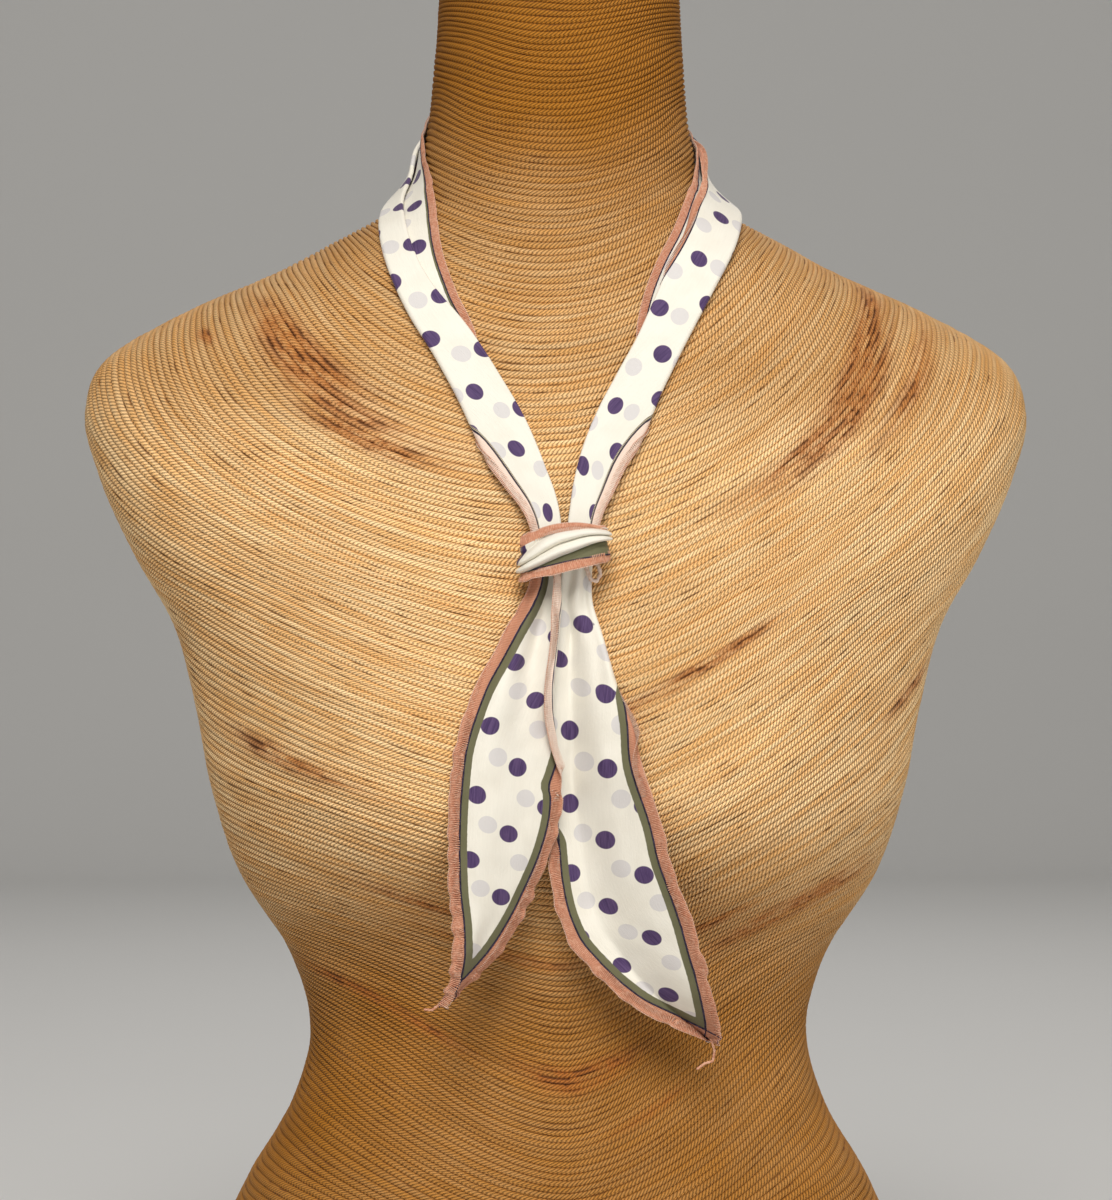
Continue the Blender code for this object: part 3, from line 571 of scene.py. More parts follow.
def twine_grid(pitch, relief):
    """The wound twine as rows of points, from the middle of the neck's cap to the base.

    Returns the points, the length along each row, the distance down across the rows, and the row
    that lies nearest the split between the two pieces.
    """
    lines, down = winding_field()
    step = pitch / ROWS_PER_TURN
    count = int(down[-1].max() / step) + 1
    places = step * np.arange(1, count + 1)
    rng = np.random.default_rng(7)
    drift = wander(rng, (count, TWINE_COLUMNS), (60, 14)) * TWINE_DRIFT
    closing, opening = np.linspace(1, 0, DRIFT_COLUMNS), np.linspace(0, 1, DRIFT_COLUMNS)
    drift[:, -DRIFT_COLUMNS:] = drift[:, -DRIFT_COLUMNS:] * closing + drift[:, :1] * opening
    drift *= (np.arange(count) / DRIFT_ROWS).clip(0, 1)[:, None]
    points = np.empty((count, TWINE_COLUMNS, 3))
    for k in range(TWINE_COLUMNS):
        for axis in range(3):
            points[:, k, axis] = np.interp(places + drift[:, k], down[:, k], lines[:, k, axis])
    around = np.roll(points, -1, axis=1) - np.roll(points, 1, axis=1)
    normals = np.cross(np.gradient(points, axis=0), around)
    size = np.linalg.norm(normals, axis=2, keepdims=True)
    normals = np.where(size > 1e-9, normals / np.maximum(size, 1e-9), 0.0)
    crest = 1 + CREST_UNEVENNESS * wander(rng, (count, TWINE_COLUMNS), (count // 6, 30))
    profile = np.array([TURN_PROFILE[(j + 1) % ROWS_PER_TURN] for j in range(count)])
    height = profile[:, None] * crest
    along = np.linalg.norm(np.diff(points, axis=1, append=points[:, :1]), axis=2)
    along = np.concatenate([np.zeros((count, 1)), np.cumsum(along, axis=1)], axis=1)
    points += normals * (height - TWINE_SUNK)[..., None] * relief
    points[..., 2] = np.clip(points[..., 2], 0.0, NECK_TOP + relief)
    split = int(np.argmin(np.abs(points[:, :, 2].mean(axis=1) - TWINE_SPLIT)))
    return points, along, places, split - (split + 1) % ROWS_PER_TURN


def stain_field(points, along, places):
    """How strongly each point of the twine is stained, from 0 to 1."""
    field = np.zeros(points.shape[:2])
    for x, z, face, reach, width, strength in STAINS:
        away = np.hypot(points[..., 0] - x, points[..., 2] - z)
        away[np.sign(points[..., 1]) != face] = np.inf
        row, column = np.unravel_index(np.argmin(away), away.shape)
        side = (along[:, :-1] - along[row, column]) / reach
        down = (places[:, None] - places[row]) / width
        field = np.maximum(field, strength * np.exp(-(side**2) - down**2))
    return field


# Cloth: folded band, knot and hanging ends. Each gives rows of points, the flat place of each point
# across and along the strip, and its distance from the two edges of the cloth.


def folded(u, tuck, window, squeeze, crease):
    """Where a point of the strip lies in the folded band's section: across it, and above the skin."""
    half = window / 2
    inner = half - crease
    if u < tuck:
        return (-half + tuck - u) * squeeze, UNDER_LAYER
    u -= tuck
    if u < OUTER_ARC:
        turn = u / OUTER_RADIUS - math.pi / 2
        middle = (UNDER_LAYER + FACE_LAYER) / 2
        return -half * squeeze - OUTER_RADIUS * math.cos(turn), middle + OUTER_RADIUS * math.sin(turn)
    u -= OUTER_ARC
    if u < window - crease:
        return (u - half) * squeeze, FACE_LAYER
    u -= window - crease
    if u < INNER_ARC:
        turn = math.pi / 2 - u / INNER_RADIUS
        middle = (MIDDLE_LAYER + FACE_LAYER) / 2
        return inner * squeeze + INNER_RADIUS * math.cos(turn), middle + INNER_RADIUS * math.sin(turn)
    return (inner - (u - INNER_ARC)) * squeeze, MIDDLE_LAYER


def spread_points(tuck, window):
    """Places across the strip, closer together round the two folds and at the edges."""
    fine = np.linspace(0, SCARF_WIDTH, 400)
    inner = tuck + OUTER_ARC + window
    weight = np.ones(len(fine))
    weight[(fine > tuck) & (fine < tuck + OUTER_ARC)] = FOLD_DENSITY
    weight[(fine > inner) & (fine < inner + INNER_ARC)] = FOLD_DENSITY
    weight[(fine < EDGING_WIDTH) | (fine > SCARF_WIDTH - EDGING_WIDTH)] = EDGE_DENSITY
    along = running((weight[1:] + weight[:-1]) / 2)
    return np.interp(np.linspace(0, along[-1], BAND_POINTS), along, fine)


def band_stations(table):
    """The band's sections, closer together towards the knot: each a dictionary of the columns."""
    data = np.array(table, float)
    along = length_along(data[:, :3])
    stations = []
    for place in along[-1] * (1 - np.linspace(1, 0, BAND_ROWS) ** ROW_CROWDING):
        values = [curve_value(along, data[:, k], place) for k in range(data.shape[1])]
        stations.append(dict(zip(BAND_COLUMNS, values)))
    return stations


def skin_line(skin, centre, across, reach):
    """Points of the skin every SKIN_STEP to both sides of a centre, with their normals."""
    count = math.ceil(reach / SKIN_STEP)
    halves = []
    for side in (-1, 1):
        place, normal = centre
        direction = across * side
        half = []
        for _ in range(count):
            direction = (direction - normal * direction.dot(normal)).normalized()
            place, normal = skin.nearest(place + direction * SKIN_STEP)
            half.append((place, normal))
        halves.append(half)
    return halves[0][::-1] + [centre] + halves[1], count


def band(skin, table, outer_side, crease_side, seed):
    """The folded band from the nape to the knot, with soft creases that gather towards the knot."""
    stations = band_stations(table)
    centres = [skin.nearest(Vector((s["x"], s["y"], s["z"]))) for s in stations]
    rng = np.random.default_rng(seed)
    crease = wander(rng, (BAND_ROWS, CREASE_PLACES), (16, 5))
    frill = wander(rng, (BAND_ROWS, 2), (BAND_ROWS // 4, 2))
    run = running([(b[0] - a[0]).length for a, b in zip(centres, centres[1:])])
    points, across_flat = np.empty((BAND_ROWS, BAND_POINTS, 3)), np.empty((BAND_ROWS, BAND_POINTS))
    for k, (station, centre) in enumerate(zip(stations, centres)):
        before, after = centres[max(0, k - 2)][0], centres[min(BAND_ROWS - 1, k + 2)][0]
        inner_side = centre[1].cross((after - before).normalized()) * outer_side
        if k == 0:
            inner_side = Vector((0, 0, 1))
        line, middle = skin_line(skin, centre, inner_side, SCARF_WIDTH * 0.5)
        gather = float(ease(GATHER_START, 1.0, k / (BAND_ROWS - 1)))
        shape = station["tuck"], station["window"]
        cut = smooth(CREASE_COLUMNS, CREASES, crease_side, station["z"])
        for j, u in enumerate(spread_points(shape[0], shape[1] - cut)):
            across, height = folded(u, *shape, station["squeeze"], cut)
            spot = across / SKIN_STEP + middle
            i = min(len(line) - 2, max(0, math.floor(spot)))
            share = spot - i
            point = line[i][0].lerp(line[i + 1][0], share)
            normal = line[i][1].lerp(line[i + 1][1], share).normalized()
            place = (across / SCARF_WIDTH + 0.5) * (CREASE_PLACES - 1)
            place = int(np.clip(place, 0, CREASE_PLACES - 1))
            height += (BAND_CREASE + GATHER_CREASE * gather) * crease[k, place]
            swing = 2.0 * crease[k, CREASE_PLACES // 2]
            height += GATHER_PLEAT * gather * math.sin(across / GATHER_PLEAT_WIDTH + swing)
            edge = min(u, SCARF_WIDTH - u)
            side = 0 if u < SCARF_WIDTH / 2 else 1
            height += BAND_FRILL * max(0.0, 1 - edge / BAND_FRILL_REACH) * frill[k, side]
            points[k, j] = point + normal * (height + station["lift"])
            across_flat[k, j] = u
    flat = np.stack([across_flat, np.repeat(run[:, None], BAND_POINTS, axis=1)], axis=2)
    edges = np.stack([across_flat, SCARF_WIDTH - across_flat], axis=2)
    return points, flat, edges


def knot_point(turn, share):
    """A point of the wrap: turn goes round it from the viewer's right, share from top to bottom."""
    c, s = math.cos(turn), math.sin(turn)
    power = 2 / KNOT_SQUARENESS
    fold = share + KNOT_FOLD_SLANT * c * math.sin(math.pi * share)
    bulge = smooth(KNOT_FOLD_COLUMNS, KNOT_FOLDS, "bulge", fold)
    bulge *= 0.65 - 0.35 * s
    x = (KNOT_HALF_WIDTH + bulge) * math.copysign(abs(c) ** power, c)
    y = (KNOT_HALF_DEPTH + bulge) * math.copysign(abs(s) ** power, s)
    top = KNOT_TOP + KNOT_TOP_TILT * x - KNOT_TOP_ARCH * x**2
    bottom = KNOT_BOTTOM + KNOT_BOTTOM_TILT * x
    z = top + (bottom - top) * share
    return (KNOT_X + x, KNOT_Y + y + KNOT_LEAN * z, KNOT_Z + z), fold


def knot_wrap(seed):
    """The wrap of the knot, a closed ring of cloth whose folds run on a slant."""
    turns = -2 * math.pi * np.arange(KNOT_POINTS + 1) / KNOT_POINTS
    shares = np.linspace(0, 1, KNOT_ROWS)
    made = [[knot_point(turn, share) for turn in turns] for share in shares]
    points = np.array([[place for place, _ in row] for row in made])
    folds = np.array([[fold for _, fold in row] for row in made])
    rng = np.random.default_rng(seed)
    away = points - points.mean(axis=(0, 1))
    away[..., 2] = 0
    away /= np.linalg.norm(away, axis=2, keepdims=True)
    ripple = wander(rng, folds.shape, (12, 30))
    ripple[:, -1] = ripple[:, 0]
    points += away * (ripple * KNOT_RIPPLE)[..., None]
    lip = wander(rng, (2, KNOT_POINTS + 1), (2, 26))
    lip[:, -1] = lip[:, 0]
    top = np.clip(1 - shares / LIP_SHARE, 0, 1)[:, None] * lip[0]
    bottom = np.clip(1 - (1 - shares) / LIP_SHARE, 0, 1)[:, None] * lip[1]
    points[..., 2] += top * TOP_LIP + bottom * BOTTOM_LIP
    points += away * (bottom * BOTTOM_LIP)[..., None]
    depth, length = KNOT_CUT
    run = np.abs(turns) / (2 * math.pi) * length
    flat = np.stack([folds * depth, np.repeat(run[None], KNOT_ROWS, axis=0)], axis=2)
    edges = np.stack([shares * depth, (1 - shares) * depth], axis=1)
    edges = np.repeat(edges[:, None, :], KNOT_POINTS + 1, axis=1)
    return points, flat, edges, folds


def tail_outline(table):
    """The two sides of a hanging end as (x, z), in rows that are closer together at the tip."""
    sides = []
    for name in ("left", "right"):
        z = np.linspace(table[0][0], table[-1][0], 300)
        x = np.array([smooth(TAIL_COLUMNS, table, name, at) for at in z])
        along = running(np.hypot(np.diff(x), np.diff(z)))
        t = np.linspace(0, 1, TAIL_ROWS)
        places = along[-1] * (t - TIP_CROWDING * t**6) / (1 - TIP_CROWDING)
        sides.append(np.stack([np.interp(places, along, x), np.interp(places, along, z)], axis=1))
    return sides


def rolled(place):
    """How far a point of the turned border lies across from where it leaves the panel, and above."""
    angle = min(ROLL_TURN, place / ROLL_RADIUS)
    rest = place - ROLL_RADIUS * angle
    across = ROLL_RADIUS * math.sin(angle) + rest * math.cos(angle)
    return across, ROLL_RADIUS * (1 - math.cos(angle)) + rest * math.sin(angle)


def tail_frames(skin, table, folds, pleats, phase, start_y, forward):
    """For each row of a hanging end: its two sides, the y of the cloth between them, its border."""
    left, right = tail_outline(table)
    shares = np.linspace(0, 1, 41)
    frames = []
    for row in range(TAIL_ROWS):
        place = row / (TAIL_ROWS - 1)
        fold = {name: smooth(FOLD_COLUMNS, folds, name, place) for name in FOLD_COLUMNS[1:]}
        across = right[row] - left[row]
        width = np.linalg.norm(across)
        border = min(ROLL_WIDTH * max(0.0, fold["turned"]), width * MOST_TURNED)
        base = across * (1 - rolled(min(border, ROLL_RADIUS * math.pi / 2))[0] / width)
        x, z = (left[row] + base * shares[:, None]).T
        pleat = fold["pleat"] * np.sin(math.pi * shares) ** 0.7
        if frames:
            stand = fold["stand_left"] + (fold["stand_right"] - fold["stand_left"]) * shares**2
            rest = [skin.front(*spot) for spot in zip(x, z)] - stand - pleat
            flat = np.minimum(rest, frames[-1]["flat"] + FALL_BACK * (frames[-1]["z"] - z))
        else:
            flat = np.full(len(shares), start_y)
        y = flat + pleat * np.cos(2 * math.pi * (pleats * shares + phase))
        frames.append({"left": left[row], "base": base, "flat": flat, "z": z, "y": y})
        frames[-1].update(shares=shares, border=border, forward=forward)
    heights = np.array([frame["y"] for frame in frames])
    for _ in range(TAIL_SMOOTHINGS):
        heights[1:-1] = (heights[:-2] + 2 * heights[1:-1] + heights[2:]) / 4
    for frame, y in zip(frames, heights):
        frame["y"] = y
    return frames


def tail_point(frame, place):
    """A point of a row: place runs over the panel's width, then over the turned border."""
    shares, y = frame["shares"], frame["y"]
    width = np.linalg.norm(frame["base"])
    if place <= width:
        x, z = frame["left"] + frame["base"] * place / width
        return Vector((x, np.interp(place / width, shares, y), z))
    x, z = frame["left"] + frame["base"]
    dx, dz = frame["base"] * (shares[-1] - shares[-2])
    tangent = Vector((dx, y[-1] - y[-2], dz)).normalized()
    front = Vector((0, -1, 0))
    front = (front - tangent * front.dot(tangent)).normalized()
    across, above = rolled(place - width)
    return Vector((x, y[-1], z)) + tangent * across + front * above * frame["forward"]


def tail(skin, settings, seed):
    """A hanging end, with its frilled borders and soft uneven creases."""
    frames = tail_frames(skin, *settings)
    rng = np.random.default_rng(seed)
    crease = wander(rng, (TAIL_ROWS, TAIL_POINTS), (9, 6))
    fine = wander(rng, (TAIL_ROWS, TAIL_POINTS), (26, 12))
    calmer = 0.4 + 0.6 * ease(0.2, 0.6, np.linspace(0, 1, TAIL_ROWS))
    frill = wander(rng, (TAIL_ROWS, 2), (TAIL_ROWS // 4, 2)) * calmer[:, None]
    shares = np.linspace(0, 1, TAIL_POINTS)
    shares = shares - SIDE_CROWDING * np.sin(2 * math.pi * shares)
    points = np.empty((TAIL_ROWS, TAIL_POINTS, 3))
    flat, edges, print_place = (np.empty((TAIL_ROWS, TAIL_POINTS, 2)) for _ in range(3))
    run = 0.0
    for k, frame in enumerate(frames):
        ahead, behind = frames[min(k + 1, TAIL_ROWS - 1)], frames[max(k - 1, 0)]
        width = float(np.linalg.norm(frame["base"]))
        total = width + frame["border"]
        across = frame["base"] / width
        slants = []
        for share in (0.0, 1.0):
            course = ahead["left"] + ahead["base"] * share - behind["left"] - behind["base"] * share
            course = course / np.linalg.norm(course)
            slants.append(max(0.3, abs(course[0] * across[1] - course[1] * across[0])))
        if k:
            centre = frame["left"] + frame["base"] / 2
            last = frames[k - 1]["left"] + frames[k - 1]["base"] / 2
            run += float(np.linalg.norm(centre - last))
        down = k / TAIL_ROWS
        free = float(ease(0.0, 0.1, down)) * (1 + 1.4 * float(ease(0.45, 0.1, down)))
        for j, share in enumerate(shares):
            place = share * total
            points[k, j] = tail_point(frame, place)
            flat[k, j] = (place, run)
            fold = max(0.0, place - width)
            print_x = points[k, j, 0] if fold == 0 else print_place[k, j - 1, 0] + fold
            print_place[k, j] = (print_x, points[k, j, 2])
            edges[k, j] = (place * slants[0], (total - place) * slants[1])
            inside = min(1.0, min(edges[k, j]) / CREASE_INSET)
            creased = TAIL_CREASE * crease[k, j] + TAIL_FINE_CREASE * fine[k, j]
            points[k, j, 1] -= free * inside * creased
            near = max(0.0, 1 - min(edges[k, j]) / TAIL_FRILL_REACH)
            if place <= width:
                side = 0 if share < 0.5 else 1
                points[k, j, 1] -= TAIL_FRILL * near * (frill[k, side] + FRILL_SET)
                outward = TAIL_SIDE_FRILL if side else -TAIL_SIDE_FRILL
                points[k, j, 0] += outward * near * frill[k, side]
    return points, flat, edges, print_place


def twisted_thread(corners, radius, turn):
    """The skin of a loose two-ply thread through these corners, as rows of points round it."""
    corners = np.array(corners)
    run = length_along(corners)
    places = np.linspace(0, run[-1], THREAD_ROWS)
    path = np.stack([np.interp(places, run, corners[:, k]) for k in range(3)], axis=1)
    for _ in range(THREAD_SMOOTHINGS):
        path[1:-1] = (path[:-2] + 2 * path[1:-1] + path[2:]) / 4
    ahead = np.gradient(path, axis=0)
    ahead /= np.linalg.norm(ahead, axis=1, keepdims=True)
    side = np.cross(ahead, (0.0, 1.0, 0.0))
    side /= np.linalg.norm(side, axis=1, keepdims=True)
    up = np.cross(side, ahead)
    angles = np.linspace(0, 2 * math.pi, THREAD_POINTS)
    twist = angles[None, :] - 2 * math.pi * places[:, None] / turn
    tapered = np.clip((run[-1] - places) / radius, 0.1, 1)[:, None] ** 0.5
    thick = radius * (0.75 + 0.35 * np.cos(twist) ** 2) * tapered
    ring = side[:, None] * np.cos(angles)[None, :, None]
    ring = ring + up[:, None] * np.sin(angles)[None, :, None]
    return path[:, None] + ring * thick[..., None]


def edge_line(points, edges, side, inset=0.0):
    """Places on a line that runs inset from an edge of a sheet, and the directions of the stitches.

    These are the directions in from the edge, off the cloth and along the edge.
    """
    inset = np.broadcast_to(inset, (len(points),))
    places, ahead = np.empty((len(points), 3)), np.empty((len(points), 3))
    for k, (row, away) in enumerate(zip(points, edges[..., side])):
        order = slice(None) if side == 0 else slice(None, None, -1)
        away, row = away[order], row[order]
        step = max(away[1] - away[0], 1e-5)
        for axis in range(3):
            places[k, axis] = np.interp(inset[k], away, row[:, axis])
            ahead[k, axis] = np.interp(inset[k] + 3 * step, away, row[:, axis])
    inward = ahead - places
    along = np.gradient(places, axis=0)
    along /= np.linalg.norm(along, axis=1, keepdims=True) + 1e-12
    inward -= along * (inward * along).sum(axis=1, keepdims=True)
    inward /= np.linalg.norm(inward, axis=1, keepdims=True) + 1e-12
    return places, inward, np.cross(inward, along), along


# Materials


def add_node(tree, kind, settings=None, inputs=None):
    """Adds a node: its settings first, then the values or links of its sockets."""
    made = tree.nodes.new(kind)
    for name, value in (settings or {}).items():
        setattr(made, name, value)
    for name, value in (inputs or {}).items():
        socket = next(s for s in made.inputs if name in (s.identifier, s.name))
        if isinstance(value, Value):
            value = value.socket
        if isinstance(value, bpy.types.NodeSocket):
            tree.links.new(value, socket)
        else:
            socket.default_value = value
    return made


def maths(operation, reflected=False):
    """A method of Value that adds one Math node; a reflected one has the value last."""

    def method(self, *others):
        values = (*others, self) if reflected else (self, *others)
        inputs = dict(zip(("Value", "Value_001"), values))
        return self.finish.node("ShaderNodeMath", {"operation": operation}, inputs)

    return method


class Value:
    """A number that varies over a surface, so that sums are written as plain expressions."""

    def __init__(self, finish, socket):
        self.finish, self.socket = finish, socket

    __add__, __radd__ = maths("ADD"), maths("ADD", True)
    __sub__, __rsub__ = maths("SUBTRACT"), maths("SUBTRACT", True)
    __mul__, __rmul__ = maths("MULTIPLY"), maths("MULTIPLY", True)
    __truediv__, __pow__, __abs__ = maths("DIVIDE"), maths("POWER"), maths("ABSOLUTE")
    floor, fract, round, root = maths("FLOOR"), maths("FRACT"), maths("ROUND"), maths("SQRT")
    least, most = maths("MINIMUM"), maths("MAXIMUM")

    def step(self, low, high):
        """0 below low and 1 above high, with a smooth step between; falls where low is over high."""
        inputs = {"Value": self, "From Min": low, "From Max": high}
        return self.finish.node("ShaderNodeMapRange", {"interpolation_type": "SMOOTHSTEP"}, inputs)

    def below(self, limit, soft):
        """1 below a limit and 0 above it."""
        return self.step(limit + soft, limit - soft)


class Finish:
    """A material under construction, on a Principled shader."""

    def __init__(self, name, **uniform):
        self.material = bpy.data.materials.new(name)
        self.material.use_nodes = True
        self.tree = self.material.node_tree
        self.tree.nodes.clear()
        self.shader = self.tree.nodes.new("ShaderNodeBsdfPrincipled")
        out = self.tree.nodes.new("ShaderNodeOutputMaterial")
        self.tree.links.new(self.shader.outputs[0], out.inputs["Surface"])
        for socket, value in uniform.items():
            self.shader.inputs[socket.replace("_", " ")].default_value = value

    def node(self, kind, settings=None, inputs=None, output=0):
        """Adds a node and gives one of its outputs as a value."""
        return Value(self, add_node(self.tree, kind, settings, inputs).outputs[output])

    def attribute(self, name):
        """A number that the mesh carries at each of its points."""
        return self.node("ShaderNodeAttribute", {"attribute_name": name}, output=2)

    def flat_place(self, layer):
        """The two numbers of a UV map."""
        layer = self.node("ShaderNodeUVMap", {"uv_map": layer})
        split = self.node("ShaderNodeSeparateXYZ", inputs={"Vector": layer})
        return split, Value(self, split.socket.node.outputs[1])

    def place(self):
        """Object coordinates."""
        return self.node("ShaderNodeTexCoord", output=3)

    def combined(self, x=0.0, y=0.0, z=0.0):
        """A vector of three numbers."""
        return self.node("ShaderNodeCombineXYZ", inputs={"X": x, "Y": y, "Z": z})

    def noise(self, vector, scale, detail=3.0, roughness=0.5):
        """Soft noise, from 0 to 1 around a half."""
        inputs = {"Vector": vector, "Scale": scale, "Detail": detail, "Roughness": roughness}
        return self.node("ShaderNodeTexNoise", inputs=inputs)

    def threads(self, x, y, z=0.0, detail=3.0):
        """Noise over numbers that are already scaled, for fibres, threads and streaks."""
        return self.noise(self.combined(x, y, z), 1.0, detail, 0.6)

    def chance(self, value):
        """A random number for each whole number."""
        return self.node("ShaderNodeTexWhiteNoise", {"noise_dimensions": "1D"}, {"W": value})

    def mix(self, share, first, second):
        """A colour between two others."""
        first, second = (c if isinstance(c, Value) else (*c, 1.0) for c in (first, second))
        inputs = {"Factor_Float": share, "A_Color": first, "B_Color": second}
        return self.node("ShaderNodeMix", {"data_type": "RGBA"}, inputs, output=2)

    def shaded(self, colour, factor):
        """A colour times a number."""
        grey = self.combined(factor, factor, factor)
        inputs = {"Factor_Float": 1.0, "A_Color": colour, "B_Color": grey}
        settings = {"data_type": "RGBA", "blend_type": "MULTIPLY"}
        return self.node("ShaderNodeMix", settings, inputs, output=2)

    def give(self, **values):
        """Links values or colours to the shader's sockets."""
        for name, value in values.items():
            self.tree.links.new(value.socket, self.shader.inputs[name.replace("_", " ")])

    def bump(self, height, distance):
        """Raises the finish by a height."""
        inputs = {"Height": height, "Distance": distance}
        self.give(Normal=self.node("ShaderNodeBump", inputs=inputs))


# How often the noises of the finishes change in a metre: along the twine, and across and along cloth.
FIBRES, STREAKS, DASHES, BREAKS, PATCHES = 900.0, 26.0, 48.0, 60.0, 9.0
WEAVE_ACROSS, WEAVE_ALONG, KNOT_WEAVE_ALONG = 2600.0, 700.0, 900.0
SLUB_ACROSS, SLUB_ALONG = 1500.0, 90.0
# Where the twine is browner: the heights between which that sets in, and how much.
# The last, from under the bust down to the base, is painted shade.
BROWNER_AND_SHADE = ((0.42, 0.47, 0.45), (0.49, 0.60, 0.55), (0.300, 0.180, 0.92))
# Half the softness of a dot's rim, a seam and the olive band's rim, and the cloth's bump.
DOT_RIM, SEAM_RIM, OLIVE_RIM = 0.00018, 0.0001, 0.00012
CLOTH_RELIEF = 0.00022
# The needle line's distance from the overlocked edge, and the place of the knot's dot.
NEEDLE_INSET, KNOT_DOT = 0.0003, (0.0028, 0.0395)
CREPE = {"Roughness": 0.72, "Specular_IOR_Level": 0.3, "Sheen_Weight": 0.15, "Sheen_Roughness": 0.4}


def twine_finish(form):
    """Two-ply twine laid in rows, with painted shade in the gaps and the twist, fibres, old stains, a
    browner neck, and painted shade from under the bust down to the base.
    """
    made = Finish("wound_twine", Roughness=0.75, Specular_IOR_Level=0.3)
    along, down = made.flat_place("winding")
    turn = down / form.twine_pitch
    row = turn.floor()
    middle = abs(turn.fract() - 0.5) * 2.0
    chance = made.chance(row)
    strands = along / form.ply_length + turn.fract() * form.ply_slant + chance * 7.0
    ply = abs(strands.fract() - 0.5) * 2.0
    fibre = made.threads(along * FIBRES + turn * 3.4, turn * 6.0, chance * 40.0)
    streak = made.threads(along * STREAKS, turn * 0.9, chance * 9.0)
    patch = made.noise(made.place(), PATCHES, 3.0, 0.55)
    height = made.node("ShaderNodeSeparateXYZ", inputs={"Vector": made.place()}, output=2)
    # Browner up the neck, painted shade from under the bust down to the base, and random browner
    # patches.
    browner = sum(height.step(low, high) * strength for low, high, strength in BROWNER_AND_SHADE)
    browner = browner + (patch - 0.5) * 0.55
    light = made.mix(streak.step(0.3, 0.7), form.twine_colour, form.twine_light)
    light = made.mix(browner.most(0.0).least(1.0), light, form.twine_warm_and_shade)
    gap = middle.step(0.66, 1.04)
    # Painted shade in the grooves of the twist; the fibres and each row's chance give the twine's own
    # tone.
    ply_gap = ply.step(0.40, 1.0)
    shade = 1.22 - ply_gap * 0.44 + (fibre - 0.5) * 0.60 + (chance - 0.5) * 0.14
    body = made.shaded(light, shade)
    # Painted shade in the gaps between the rows.
    body = made.mix(gap * (0.10 + streak * 0.45), body, form.gap_shade)
    # Short darker dashes along the gaps, in the same colour.
    dashes = made.threads(along * DASHES, row * 5.3, 9.0).step(0.58, 0.66)
    body = made.mix(dashes * middle.step(0.45, 0.90) * 0.85, body, form.gap_shade)
    stained = made.attribute("stain") * 2.0
    broken = made.noise(made.combined(along * BREAKS, row * 3.7, 3.0), 1.0, 4.0, 0.65)
    rust = stained.least(1.0) * (0.30 + broken.step(0.35, 0.58) * 0.70)
    body = made.mix(rust * 0.82, body, form.stain_colour)
    deep = (stained * broken.step(0.51, 0.60)).least(1.0) * middle.step(0.10, 0.80)
    body = made.mix(deep * 0.90, body, form.stain_dark)
    made.give(Base_Color=body)
    made.bump((1.0 - ply**2.0) + fibre * 0.4 - gap * 0.4, form.ply_relief)
    return made.material


def dot_mask(made, across, along, scarf, shift=(0.0, 0.0)):
    """Dots on a staggered lattice."""
    a = (across - shift[0]) / scarf.dot_spacing
    b = (along - shift[1]) / scarf.dot_spacing
    s, t = (a + b) * 0.5, (a - b) * 0.5
    ds, dt = s - s.round(), t - t.round()
    away = (ds * ds + dt * dt).root() * (math.sqrt(2) * scarf.dot_spacing)
    return away.below(scarf.dot_size / 2, DOT_RIM)


def border_colours(made, scarf, along, cloud, weave):
    """The olive band, the rose edge, and the ladder of stitches that runs along both."""
    ladder = abs((along / scarf.stitch_pitch).fract() - 0.5) * 2.0
    olive = made.shaded(made.mix(cloud, scarf.olive, scarf.olive_light), 0.92 + weave * 0.18)
    rose = made.mix(ladder.step(0.5, 1.0) * 0.55, scarf.rose, scarf.rose_light)
    return olive, made.shaded(rose, 0.94 + weave * 0.12), ladder


